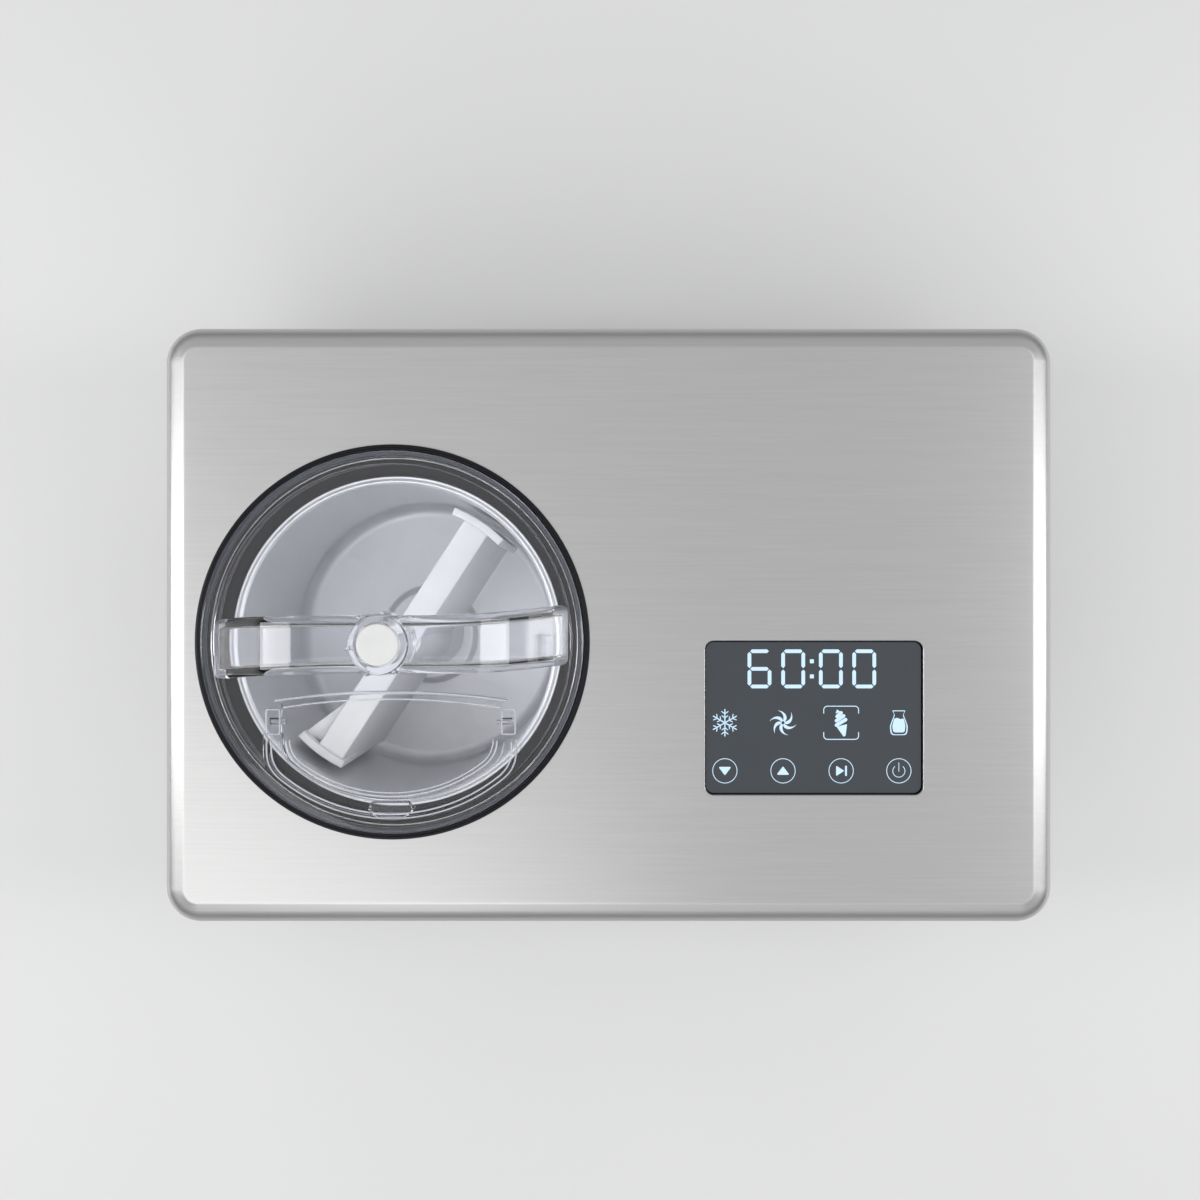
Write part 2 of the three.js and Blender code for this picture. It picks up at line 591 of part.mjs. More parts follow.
// The height line of the arched handle's outer face, from foot to foot.
function handleLine() {
  const { flat, shoulder: run, drop, top } = HANDLE;
  const foot = (side) => new THREE.Vector3(side * (HANDLE.span + 4.5), 0, LID.top - 5);
  const path = new THREE.CurvePath();
  const shoulder = (side) => [
    new THREE.Vector3(side * (flat + run), 0, top - drop), new THREE.Vector3(side * (flat + 13), 0, top),
    new THREE.Vector3(side * flat, 0, top),
  ];
  const [left, right] = [shoulder(-1), shoulder(1)];
  path.add(new THREE.LineCurve3(foot(-1), left[0]));
  path.add(new THREE.QuadraticBezierCurve3(left[0], left[1], left[2]));
  path.add(new THREE.LineCurve3(left[2], right[2]));
  path.add(new THREE.QuadraticBezierCurve3(right[2], right[1], right[0]));
  path.add(new THREE.LineCurve3(right[0], foot(1)));
  return path;
}

function lidHandle() {
  const { depth, skin, rail, width, flare, sway } = HANDLE;
  const line = handleLine();
  const steps = 22;
  const rings = [];
  for (let i = 0; i <= steps; i += 1) {
    const point = line.getPointAt(i / steps);
    const tangent = line.getTangentAt(i / steps);
    const down = new THREE.Vector3(tangent.z, 0, -tangent.x);
    const share = point.x / HANDLE.span;
    const half = (width + flare * share ** 2) / 2;
    const middle = sway * share ** 3;
    const section = [[-half, 0], [half, 0], [half, depth], [half - rail, depth], [half - rail, skin],
      [rail - half, skin], [rail - half, depth], [-half, depth]];
    const place = ([y, d]) => new THREE.Vector3(0, middle + y, 0).add(point).addScaledVector(down, d);
    rings.push(section.map(place));
  }
  const channel = flipIfInside(lofted(rings));
  const tube = disc(SOCKET.outer, [SOCKET.bottom, SOCKET.top], 0, 0, MEDIUM);
  const below = block([-120, 120], [-40, 40], [180, LID.top + GAP]);
  const bore = disc(SOCKET.bore, [200, 280], 0, 0, MEDIUM);
  return cut(join(channel, tube), below, bore);
}

function lid() {
  addPart('lid_disc', lidDisc(), 'clear', bowlGroup);
  addPart('lid_seal', turned([[COLLAR.land + 0.2, LEDGE + GAP], [90.4, LEDGE + GAP], [90.4, BODY.top - GAP],
    [COLLAR.land + 0.2, BODY.top - GAP]]), 'silicone', bowlGroup);
  addPart('lid_handle', lidHandle(), 'clear', bowlGroup);
  const rim = CAP.top - CAP.thickness;
  addPart('hub_cap', turned([[0, CAP.top], [CAP.radius - 0.5, CAP.top], [CAP.radius, rim], [8, rim],
    [8, SOCKET.bottom + 6], [0, SOCKET.bottom + 6]], MEDIUM), 'white', bowlGroup);
  addPart('fill_flap', fillFlap(), 'clear', bowlGroup);
}

// ---- drive

const pitchRadius = ({ teeth, module }) => teeth * module / 2;

// A spur gear with one tooth centred on the angle phase, in radians.
function gear({ teeth, module, levels }, bore, phase) {
  const middle = pitchRadius({ teeth, module });
  const [root, tip] = [middle - 1.25 * module, middle + 0.85 * module];
  const pitch = Math.PI * 2 / teeth;
  const shape = new THREE.Shape();
  for (let tooth = 0; tooth < teeth; tooth += 1) {
    for (const [radius, share] of [[root, -0.27], [tip, -0.1], [tip, 0.1], [root, 0.27]]) {
      const angle = phase + (tooth + share) * pitch;
      const point = [radius * Math.cos(angle), radius * Math.sin(angle)];
      if (tooth === 0 && share === -0.27) shape.moveTo(...point);
      else shape.lineTo(...point);
    }
  }
  if (bore) shape.holes.push(new THREE.Path().absarc(0, 0, bore, 0, Math.PI * 2, true));
  return extruded(shape, levels, 8);
}

function gearCentres() {
  const ahead = (angle, distance) => [Math.cos, Math.sin].map((turn) => distance * turn(radians(angle)));
  const idler = ahead(TRAIN.first, pitchRadius(OUTPUT) + pitchRadius(IDLER_SMALL));
  const step = ahead(TRAIN.second, pitchRadius(IDLER_LARGE) + pitchRadius(PINION));
  return { idler, motor: [idler[0] + step[0], idler[1] + step[1]] };
}

function gearboxOutline(shrink, levels) {
  const { idler, motor } = gearCentres();
  const discs = [[0, 0, 52], [...idler, 36], [...motor, 14]];
  return join(...discs.map(([x, y, radius]) => disc(radius - shrink, levels, x, y, MEDIUM)));
}

function gearboxCase() {
  const { floor, top, wall } = GEARBOX;
  const { idler, motor } = gearCentres();
  const posts = [[-34, 24], [-34, -26], [idler[0] - 6, idler[1] + 27]];
  const legs = posts.map(([x, y]) => disc(5, [BASE.floor + GAP, floor[0] + 1], x, y, 12));
  const shell = cut(gearboxOutline(0, [floor[0], top]), gearboxOutline(wall, [floor[1], top + 5]));
  return cut(join(shell, ...legs), disc(3.4, [20, 30], ...motor));
}

function motorCan(x, y) {
  const [low, high] = [BASE.floor + GAP, GEARBOX.floor[0] - GAP];
  const { radius, bore, depth } = MOTOR;
  return turned([[0, low], [radius, low], [radius, high - 1.5], [radius - 1.5, high], [bore, high],
    [bore, high - depth], [0, high - depth]], MEDIUM).translate(x, y, 0);
}

function drive() {
  const { idler, motor } = gearCentres();
  const bore = SHAFT.radius + GAP;
  const halfPitch = ({ teeth }) => Math.PI / teeth;
  const [first, second] = [radians(TRAIN.first), radians(TRAIN.second)];
  addPart('gearbox_case', gearboxCase(), 'darkSteel', bowlGroup);
  const cover = cut(gearboxOutline(0, GEARBOX.cover), disc(9.4, [30, 60], 0, 0, MEDIUM));
  addPart('gearbox_cover', cover, 'darkSteel', bowlGroup);
  addPart('motor_can', motorCan(...motor), 'darkSteel', bowlGroup);
  const bush = turned([[bore, 42.6], [9.1, 42.6], [9.1, 45.5], [bore, 45.5]], MEDIUM);
  const seal = turned([[bore, 45.8], [9.7, 45.8], [9.7, 48.6], [bore, 49.2]], MEDIUM);
  const axle = disc(2.5, [GEARBOX.floor[1] + GAP, GEARBOX.top], ...idler);
  addPart('shaft_bush', bush, 'copper', bowlGroup);
  addPart('shaft_seal', seal, 'rubber', bowlGroup);
  addPart('idler_axle', axle, 'darkSteel', bowlGroup);

  const small = gear(IDLER_SMALL, 2.9, first + Math.PI);
  const large = gear(IDLER_LARGE, 2.9, second);
  addPart('idler_gear', join(small, large).translate(...idler, 0), 'acetal', bowlGroup);
  addPart('output_gear', gear(OUTPUT, bore, first + halfPitch(OUTPUT)), 'acetal', bowlGroup);
  const teeth = gear(PINION, 0, second + Math.PI + halfPitch(PINION));
  const stem = disc(2.5, [GEARBOX.floor[0] - 6, PINION.levels[0] + 1], 0, 0, 12);
  addPart('motor_pinion', join(teeth, stem).translate(...motor, 0), 'darkSteel', bowlGroup);

  const round = disc(SHAFT.radius, [SHAFT.bottom, BOSS.top + 1], 0, 0, MEDIUM);
  const flats = [-SHAFT.square / 2, SHAFT.square / 2];
  const tip = block(flats, flats, [BOSS.top, SHAFT.top]);
  addPart('drive_shaft', join(round, tip), 'darkSteel', bowlGroup);
}

// ---- cooling circuit

function compressorShell() {
  const { radius, bottom, top } = COMPRESSOR;
  const middle = (bottom + top) / 2;
  const hollow = 38;
  const seam = radius + 2.5;
  const pot = turned([[0, top - 18], [hollow, top - 18], [hollow, bottom + 3], [radius - 14, bottom + 3],
    [radius, bottom + 22], [radius, middle - 2], [seam, middle - 2], [seam, middle + 2],
    [radius, middle + 2], [radius, top - 24], [radius - 8, top - 9], [radius - 24, top - 2], [0, top],
  ], MEDIUM);
  const ears = [90, 210, 330].map((angle) => block([0, radius + 12], [-12, 12], [bottom, bottom + 3.5])
    .rotateZ(radians(angle)));
  return cut(join(pot, disc(radius - 16, [bottom, bottom + 3.5], 0, 0, MEDIUM), ...ears),
    disc(hollow, [bottom - 5, bottom + 10], 0, 0, MEDIUM));
}

function grommet() {
  const [low, high] = [BASE.floor + GAP, COMPRESSOR.bottom - GAP];
  return turned([[0, low], [9.5, low], [7, low + 5], [9, high], [0, high]], SMALL);
}

function condenser() {
  const { width, length, bottom, fins, pitch } = CONDENSER;
  const points = [];
  const [web, thickness] = [3, 2.6];
  for (let fin = 0; fin < fins; fin += 1) {
    const z = bottom + fin * pitch;
    points.push([width / 2, z], [width / 2, z + thickness]);
    if (fin + 1 < fins) points.push([web, z + thickness], [web, z + pitch]);
  }
  const mirrored = points.map(([x, z]) => [-x, z]).reverse();
  const comb = new THREE.ExtrudeGeometry(outlineOf([...points, ...mirrored]),
    { depth: length, bevelEnabled: false });
  return comb.rotateX(Math.PI / 2).translate(CONDENSER.x, CONDENSER.y + length / 2, 0);
}

function fanFrame() {
  const { size, depth, duct } = FAN;
  const half = size / 2;
  const frame = cut(slab(size, size, 6, [0, depth]), disc(duct, [-5, depth + 5], 0, 0, 24));
  const cup = disc(16, [0, 4], 0, 0, MEDIUM);
  const strut = (angle) => block([12, half - 2], [-2.5, 2.5], [0, 3]).rotateZ(radians(angle));
  return join(frame, cup, strut(90), strut(210), strut(330));
}

function fanRotor() {
  const { hub, blade, blades, depth } = FAN;
  const [low, high] = [6, depth - 3];
  const pieces = [turned([[0, low], [hub, low], [hub, high - 1], [hub - 1.5, high], [0, high]], MEDIUM)];
  const twist = [[hub - 2, 34], [36, 27], [blade, 21]]; // radius, and sweep of the blade in degrees
  for (let i = 0; i < blades; i += 1) {
    const rings = twist.map(([radius, sweep]) => {
      const corner = (angle, z) => new THREE.Vector3(radius * Math.cos(angle), radius * Math.sin(angle), z);
      const [a0, a1] = [radians(-sweep / 2 + i * 360 / blades), radians(sweep / 2 + i * 360 / blades)];
      return [corner(a0, low + 1), corner(a1, high - 3.6), corner(a1, high - 1.6), corner(a0, low + 3)];
    });
    pieces.push(flipIfInside(lofted(rings)));
  }
  return join(...pieces);
}

function controlBoard() {
  const plate = block([24, 144], [-128, -126.4], [34, 108]);
  const coil = block([34, 62], [-126.5, -106], [44, 70]);
  const relay = block([72, 90], [-126.5, -112], [46, 64]);
  const sink = block([100, 136], [-126.5, -114], [80, 102]);
  const can = new THREE.CylinderGeometry(8, 8, 24, SMALL).translate(116, -114.5, 56);
  return join(plate, coil, relay, sink, can);
}

function coolingCircuit() {
  const { x, y } = COMPRESSOR;
  addPart('compressor_shell', compressorShell(), 'pot').position.set(x, y, 0);
  [90, 210, 330].forEach((angle, i) => {
    const reach = COMPRESSOR.radius + 2;
    const [dx, dy] = [reach * Math.cos(radians(angle)), reach * Math.sin(radians(angle))];
    addPart(`compressor_grommet_${i + 1}`, grommet(), 'rubber').position.set(x + dx, y + dy, 0);
  });
  const relayFace = y - COMPRESSOR.radius - 3;
  addPart('start_relay', block([x - 20, x + 20], [relayFace - 16, relayFace], [58, 100]), 'blackPlastic');
  addPart('condenser', condenser(), 'aluminium');
  for (const [name, geometry] of [['fan_frame', fanFrame()], ['fan_rotor', fanRotor()]]) {
    const piece = addPart(name, geometry.rotateY(Math.PI / 2), 'blackPlastic');
    piece.position.set(FAN.x, FAN.y, FAN.z);
  }
  const { radius, bottom, top } = DRYER;
  const dryer = turned([
    [0, bottom], [3, bottom], [radius, bottom + 10], [radius, top - 10], [3, top], [0, top],
  ], SMALL);
  addPart('filter_dryer', dryer, 'copper').position.set(DRYER.x, DRYER.y, 0);
}

function coolingTubes() {
  const port = (distance, z) => [
    BOWL_AXIS.x + distance * Math.cos(radians(30)), BOWL_AXIS.y + distance * Math.sin(radians(30)), z,
  ];
  const coilTop = COIL.bottom + COIL.turns * COIL.pitch;
  const { x, y, top } = COMPRESSOR;
  const condenserTop = CONDENSER.bottom + (CONDENSER.fins - 1) * CONDENSER.pitch + 2.6;
  addPart('discharge_tube', tubeAlong([[x + 24, y - 12, top - 0.6], [x + 24, y - 12, top + 12],
    [x + 60, y - 20, top + 18], [CONDENSER.x - 6, 30, top + 16], [CONDENSER.x, 30, top + 4],
    [CONDENSER.x, 30, condenserTop + 0.6]], 3, 18), 'copper');
  addPart('suction_tube', tubeAlong([port(88.9, coilTop), port(104, coilTop), port(118, coilTop - 1),
    [x - 28, y - 4, top + 12], [x - 24, y - 4, top + 6], [x - 24, y - 4, top + 0.2]], 3.5, 18), 'copper');
  addPart('capillary_tube', tubeAlong([[DRYER.x, DRYER.y, DRYER.top + 0.5], [DRYER.x, DRYER.y, 150],
    [110, 122, 176], [40, 126, 176], [-10, 90, 120], port(118, COIL.bottom + 6), port(104, COIL.bottom),
    port(88.9, COIL.bottom)], 1.8, 28), 'copper');
  const rear = CONDENSER.y + CONDENSER.length / 2;
  addPart('liquid_tube', tubeAlong([[CONDENSER.x, rear + 0.6, 46], [CONDENSER.x, rear + 16, 44],
    [170, 112, 26], [DRYER.x + 8, DRYER.y, 21], [DRYER.x, DRYER.y, 26],
    [DRYER.x, DRYER.y, DRYER.bottom - 0.5]], 2.5, 18), 'copper');
}

// ---- electrics

function mainsInlet() {
  const { x, z, width, height } = INLET;
  const [halfX, halfZ] = [width / 2, height / 2];
  const body = block([x - halfX, x + halfX], [116, 141], [z - halfZ, z + halfZ]);
  const [reachX, reachZ] = [halfX + 3.5, halfZ + 3.5];
  const flange = block([x - reachX, x + reachX], [PANEL.outer + GAP, 141.6], [z - reachZ, z + reachZ]);
  const socket = block([x - 11, x + 11], [121, 150], [z - 7, z + 7]);
  const pins = [[-7, 2], [0, -2.5], [7, 2]].map(([dx, dz]) => (
    block([x + dx - 1, x + dx + 1], [120, 136], [z + dz - 2, z + dz + 2])));
  return join(cut(join(body, flange), socket), ...pins);
}

function electrics() {
  addPart('control_board', controlBoard(), 'board');
  addPart('mains_inlet', mainsInlet(), 'blackPlastic');
}

housing();
display();
coldWell();
addPart('paddle', paddle(), 'white', bowlGroup);
lid();
drive();
coolingCircuit();
coolingTubes();
electrics();

export default machine;
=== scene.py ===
import json
import math

import bmesh
import bpy
from mathutils import Matrix, Vector
from mathutils.geometry import tessellate_polygon


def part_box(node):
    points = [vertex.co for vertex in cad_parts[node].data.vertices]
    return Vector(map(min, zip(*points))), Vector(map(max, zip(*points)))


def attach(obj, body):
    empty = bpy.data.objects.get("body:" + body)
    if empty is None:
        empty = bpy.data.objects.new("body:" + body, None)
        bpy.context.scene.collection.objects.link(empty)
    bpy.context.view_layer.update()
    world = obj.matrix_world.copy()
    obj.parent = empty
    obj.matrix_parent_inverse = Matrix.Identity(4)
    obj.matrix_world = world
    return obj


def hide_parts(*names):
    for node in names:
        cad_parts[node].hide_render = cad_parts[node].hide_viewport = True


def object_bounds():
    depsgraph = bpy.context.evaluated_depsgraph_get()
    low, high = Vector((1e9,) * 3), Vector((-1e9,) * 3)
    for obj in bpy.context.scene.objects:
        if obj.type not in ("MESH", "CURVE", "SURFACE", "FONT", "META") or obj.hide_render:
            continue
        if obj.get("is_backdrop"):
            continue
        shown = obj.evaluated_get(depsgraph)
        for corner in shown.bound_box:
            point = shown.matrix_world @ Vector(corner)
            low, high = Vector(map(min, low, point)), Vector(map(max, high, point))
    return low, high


# Compressor ice cream maker. Sizes below are in millimetres; meshes are in metres, in the frame's own axes:
# +X towards the display, +Y to the rear, +Z up.
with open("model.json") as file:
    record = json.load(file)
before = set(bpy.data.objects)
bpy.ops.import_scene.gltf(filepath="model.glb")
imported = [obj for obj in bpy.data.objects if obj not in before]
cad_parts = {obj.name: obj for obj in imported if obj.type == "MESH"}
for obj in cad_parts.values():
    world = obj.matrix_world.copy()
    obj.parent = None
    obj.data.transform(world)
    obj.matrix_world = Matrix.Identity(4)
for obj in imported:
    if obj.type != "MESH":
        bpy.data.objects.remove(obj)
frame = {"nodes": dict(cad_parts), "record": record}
CAD_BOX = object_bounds()
MM = 0.001


# ---------------------------------------------------------------- places taken from the frame

def low(node):
    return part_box(node)[0] / MM


def high(node):
    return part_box(node)[1] / MM


def middle(node):
    return (low(node) + high(node)) / 2


def reach(node):
    """Half of a round node's width."""
    return (high(node).x - low(node).x) / 2


BOWL = middle("mixing_bowl")
TOP = high("top_plate").z
SKIRT = low("top_plate").z
LID_TOP = TOP + 4
RIM = high("mixing_bowl").z
SCREEN = middle("display_glass")
SCREEN_SIZE = high("display_glass") - low("display_glass")
SCREEN_TOP = high("display_glass").z
HINGE_X, HINGE_Y = 55.4, -37.5  # from the lid's axis
HINGE_Z = TOP + 2.8
AT_BOWL = Matrix.Translation((BOWL.x, BOWL.y, 0))
PADDLE_ANGLE = 57
LUG_ANGLES = (90, 210, 330)


# ---------------------------------------------------------------- camera, floor and light

WALL_LIGHT, CEILING_LIGHT = 0.15, 0.74


def studio():
    camera_data = bpy.data.cameras.new("camera")
    camera_data.lens = 43.6
    camera_data.clip_start = 0.01
    camera = bpy.data.objects.new("camera", camera_data)
    camera.location = Vector((-4.1, 12.0, TOP + 690)) * MM
    bpy.context.scene.collection.objects.link(camera)
    bpy.context.scene.camera = camera

    bpy.ops.mesh.primitive_plane_add(size=8)
    floor = bpy.context.object
    floor.name = "floor"
    floor.data.materials.append(floor_finish())
    floor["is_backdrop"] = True

    room_light()
    softbox("left", (-1.12, 0.0, 0.86), (0.24, 1.5), 6)
    softbox("right", (1.12, 0.0, 0.86), (0.24, 1.5), 5.4)
    softbox("front", (0.1, -1.05, 1.35), (1.4, 0.3), 1)
    softbox("front_left", (-0.46, -0.70, 1.7), (1.0, 0.7), 2.9)
    bpy.context.scene.view_settings.view_transform = "Standard"


def room_light():
    """A white ceiling over dimmer walls: the light falls off from overhead to the horizon."""
    world = bpy.data.worlds.new("studio")
    bpy.context.scene.world = world
    world.use_nodes = True
    tree = world.node_tree
    background = tree.nodes["Background"]
    direction = tree.nodes.new("ShaderNodeTexCoord").outputs["Generated"]
    split = tree.nodes.new("ShaderNodeSeparateXYZ")
    tree.links.new(direction, split.inputs["Vector"])
    fall = tree.nodes.new("ShaderNodeMapRange")
    fall.inputs["From Min"].default_value = 0.0
    fall.inputs["From Max"].default_value = 0.85
    fall.inputs["To Min"].default_value = WALL_LIGHT
    fall.inputs["To Max"].default_value = CEILING_LIGHT
    tree.links.new(split.outputs["Z"], fall.inputs["Value"])
    tree.links.new(fall.outputs["Result"], background.inputs["Strength"])
    background.inputs["Color"].default_value = (0.985, 0.99, 1.0, 1)


def softbox(name, place, size, watts):
    data = bpy.data.lights.new(name, "AREA")
    data.shape = "RECTANGLE"
    data.size, data.size_y = size
    data.energy = watts
    light = bpy.data.objects.new(name, data)
    light.location = place
    aim = Vector((0, 0, 0.15)) - Vector(place)
    light.rotation_euler = aim.to_track_quat("-Z", "Y").to_euler()
    light.visible_camera = False
    bpy.context.scene.collection.objects.link(light)


# ---------------------------------------------------------------- materials

class Finish:
    """A Principled material whose colour, roughness and bump come from noise laid over the object."""

    def __init__(self, name, colour, roughness, metallic=0.0, **sockets):
        self.material = bpy.data.materials.new(name)
        self.material.use_nodes = True
        self.tree = self.material.node_tree
        self.shader = self.tree.nodes["Principled BSDF"]
        self.colour = colour
        self.roughness = roughness
        self.shader.inputs["Base Color"].default_value = (*colour, 1)
        self.shader.inputs["Roughness"].default_value = roughness
        self.shader.inputs["Metallic"].default_value = metallic
        for socket, value in sockets.items():
            self.shader.inputs[socket.replace("_", " ")].default_value = value

    def node(self, kind, **settings):
        node = self.tree.nodes.new(kind)
        for key, value in settings.items():
            setattr(node, key, value)
        return node

    def link(self, source, target):
        self.tree.links.new(source, target)

    def noise(self, scale, stretch=(1, 1, 1), detail=3.0):
        """Noise over the object's own coordinates: scale in features per metre, stretch a factor per axis."""
        place = self.node("ShaderNodeTexCoord").outputs["Object"]
        mapping = self.node("ShaderNodeMapping")
        mapping.inputs["Scale"].default_value = stretch
        self.link(place, mapping.inputs["Vector"])
        texture = self.node("ShaderNodeTexNoise")
        texture.inputs["Scale"].default_value = scale
        texture.inputs["Detail"].default_value = detail
        self.link(mapping.outputs["Vector"], texture.inputs["Vector"])
        return texture.outputs["Fac"]

    def spread(self, fac, lowest, highest):
        """Noise, which gathers about a half, spread to run between two values."""
        node = self.node("ShaderNodeMapRange")
        node.inputs["From Min"].default_value = 0.3
        node.inputs["From Max"].default_value = 0.7
        node.inputs["To Min"].default_value = lowest
        node.inputs["To Max"].default_value = highest
        self.link(fac, node.inputs["Value"])
        return node.outputs["Result"]

    def vary(self, fac, colour=0.0, roughness=0.0):
        """Colour and roughness that change with the noise, each by this share either way."""
        if colour:
            ramp = self.node("ShaderNodeValToRGB")
            ramp.color_ramp.elements[0].position = 0.3
            ramp.color_ramp.elements[1].position = 0.7
            for element, share in zip(ramp.color_ramp.elements, (1 - colour, 1 + colour)):
                element.color = (*(min(c * share, 1) for c in self.colour), 1)
            self.link(fac, ramp.inputs["Fac"])
            self.link(ramp.outputs["Color"], self.shader.inputs["Base Color"])
        if roughness:
            lowest, highest = self.roughness * (1 - roughness), self.roughness * (1 + roughness)
            self.link(self.spread(fac, lowest, highest), self.shader.inputs["Roughness"])
        return self

    def bump(self, fac, depth, strength=1.0):
        """Bump from noise, with a depth in millimetres."""
        node = self.node("ShaderNodeBump")
        node.inputs["Strength"].default_value = strength
        node.inputs["Distance"].default_value = depth * MM
        self.link(fac, node.inputs["Height"])
        self.link(node.outputs["Normal"], self.shader.inputs["Normal"])
        return self

    def across(self, direction):
        """Brushed metal's highlights run across its grain, along this direction."""
        vector = self.node("ShaderNodeCombineXYZ")
        for socket, value in zip(vector.inputs, direction):
            socket.default_value = value
        self.link(vector.outputs["Vector"], self.shader.inputs["Tangent"])
        return self

    def clear_to_lamps(self, tint):
        """Lets lamps shine through, so that what is under a clear piece is lit."""
        output = self.tree.nodes["Material Output"]
        mix = self.node("ShaderNodeMixShader")
        window = self.node("ShaderNodeBsdfTransparent")
        window.inputs["Color"].default_value = (*tint, 1)
        path = self.node("ShaderNodeLightPath")
        self.link(path.outputs["Is Shadow Ray"], mix.inputs["Fac"])
        self.link(self.shader.outputs["BSDF"], mix.inputs[1])
        self.link(window.outputs["BSDF"], mix.inputs[2])
        self.link(mix.outputs["Shader"], output.inputs["Surface"])
        return self


def floor_finish():
    finish = Finish("floor_paper", (0.80, 0.80, 0.80), 0.8)
    finish.vary(finish.noise(3, detail=2), colour=0.01)
    return finish.material


def brushed(name, colour, roughness, grain, across):
    """Brushed steel: grain squeezes the noise along the brushing, and highlights run along across."""
    finish = Finish(name, colour, roughness, 1.0, Anisotropic=0.7)
    coarse = finish.noise(1100, grain, 4)
    fine = finish.noise(3000, grain, 2)
    finish.vary(coarse, colour=0.03, roughness=0.06)
    finish.bump(fine, 0.004, 0.4)
    return finish.across(across).material


def moulded(name, colour, roughness, texture=0.02, scale=900, **sockets):
    """Moulded plastic or rubber with a fine eroded texture and faint cloudiness."""
    finish = Finish(name, colour, roughness, **sockets)
    finish.vary(finish.noise(60, detail=4), colour=0.04, roughness=0.08)
    if texture:
        finish.bump(finish.noise(scale, detail=3), texture, 0.6)
    return finish.material


def worked_metal(name, colour, roughness, scale=300, stretch=(1, 1, 1), depth=0.01, **sockets):
    """Drawn, cast or plated metal with small changes in tone."""
    finish = Finish(name, colour, roughness, 1.0, **sockets)
    fac = finish.noise(scale, stretch, 3)
    finish.vary(fac, colour=0.03, roughness=0.08)
    if depth:
        finish.bump(fac, depth, 0.4)
    return finish.material


def clear_plastic(name, tint):
    finish = Finish(name, tint, 0.02, Transmission_Weight=1.0, IOR=1.49, Specular_IOR_Level=0.25)
    finish.vary(finish.noise(35, detail=5), roughness=0.5)
    return finish.clear_to_lamps((0.97, 0.98, 0.99)).material


def edge_highlight_finish(name, tint):
    """Thin raised edges of the clear pieces, in a whitish, partly clear finish that paints highlight lines
    along the edges of the lid's walls.
    """
    finish = Finish(name, tint, 0.12, Transmission_Weight=0.6, IOR=1.49)
    finish.vary(finish.noise(90, detail=3), roughness=0.3)
    return finish.material


def foam_finish():
    finish = Finish("foam", (0.72, 0.66, 0.45), 0.95)
    cells = finish.noise(700, detail=2)
    finish.vary(cells, colour=0.12)
    finish.bump(cells, 0.4, 0.8)
    return finish.material


def printed(name, colour):
    """Symbols that glow through the dark window."""
    finish = Finish(name, colour, 0.35, Emission_Color=(*colour, 1), Emission_Strength=0.55)
    finish.vary(finish.noise(400), colour=0.04)
    return finish.material


FINISHES = {
    "brushed_top": brushed("brushed_top", (0.575, 0.572, 0.568), 0.32, (0.02, 1, 1), (0, 1, 0)),
    "brushed_side": brushed("brushed_side", (0.56, 0.56, 0.56), 0.34, (0.02, 0.02, 1), (0, 0, 1)),
    "black_abs": moulded("black_abs", (0.018, 0.018, 0.02), 0.5),
    "collar_black": moulded("collar_black", (0.004, 0.004, 0.007), 0.34, texture=0,
                            Specular_IOR_Level=0.25),
    "foot_rubber": moulded("foot_rubber", (0.02, 0.02, 0.02), 0.8, texture=0.05),
    "plated_steel": worked_metal("plated_steel", (0.55, 0.55, 0.56), 0.3),
    "screen": moulded("screen", (0.018, 0.027, 0.038), 0.28, texture=0.001, scale=200, Coat_Weight=1.0,
                      Coat_Roughness=0.04),
    "circuit_board": moulded("circuit_board", (0.02, 0.12, 0.05), 0.4, texture=0.03),
    "cold_aluminium": worked_metal("cold_aluminium", (0.62, 0.63, 0.65), 0.38, 500, (1, 1, 0.03)),
    "bowl_aluminium": worked_metal("bowl_aluminium", (0.90, 0.905, 0.92), 0.50, 60, (1, 1, 0.05), depth=0),
    "copper": worked_metal("copper", (0.80, 0.38, 0.22), 0.3),
    "bronze": worked_metal("bronze", (0.62, 0.42, 0.2), 0.45),
    "foam": foam_finish(),
    "machine_grey": worked_metal("machine_grey", (0.2, 0.21, 0.22), 0.5),
    "pot_black": moulded("pot_black", (0.012, 0.012, 0.014), 0.38, texture=0.03, scale=500),
    "acetal": moulded("acetal", (0.78, 0.77, 0.72), 0.45),
    "steel": worked_metal("steel", (0.5, 0.5, 0.51), 0.3, 400, (1, 1, 0.04)),
    "condenser_aluminium": worked_metal("condenser_aluminium", (0.6, 0.61, 0.62), 0.4),
    "clear_lid": clear_plastic("clear_lid", (0.965, 0.968, 0.995)),
    "lid_silicone": moulded("lid_silicone", (0.024, 0.029, 0.042), 0.4, texture=0.01),
    "paddle_white": moulded("paddle_white", (0.83, 0.835, 0.85), 0.38, texture=0.01),
    "cap_white": moulded("cap_white", (0.80, 0.80, 0.80), 0.25, texture=0.004),
}
# The raised edge lines are whitish and only partly clear: painted highlights along the edges of the clear
# walls.
EDGE_HIGHLIGHT = edge_highlight_finish("clear_edge_painted_highlight", (0.93, 0.94, 1.0))
SYMBOL_GLOW = printed("symbol_glow", (0.45, 0.60, 0.74))


# ---------------------------------------------------------------- outlines

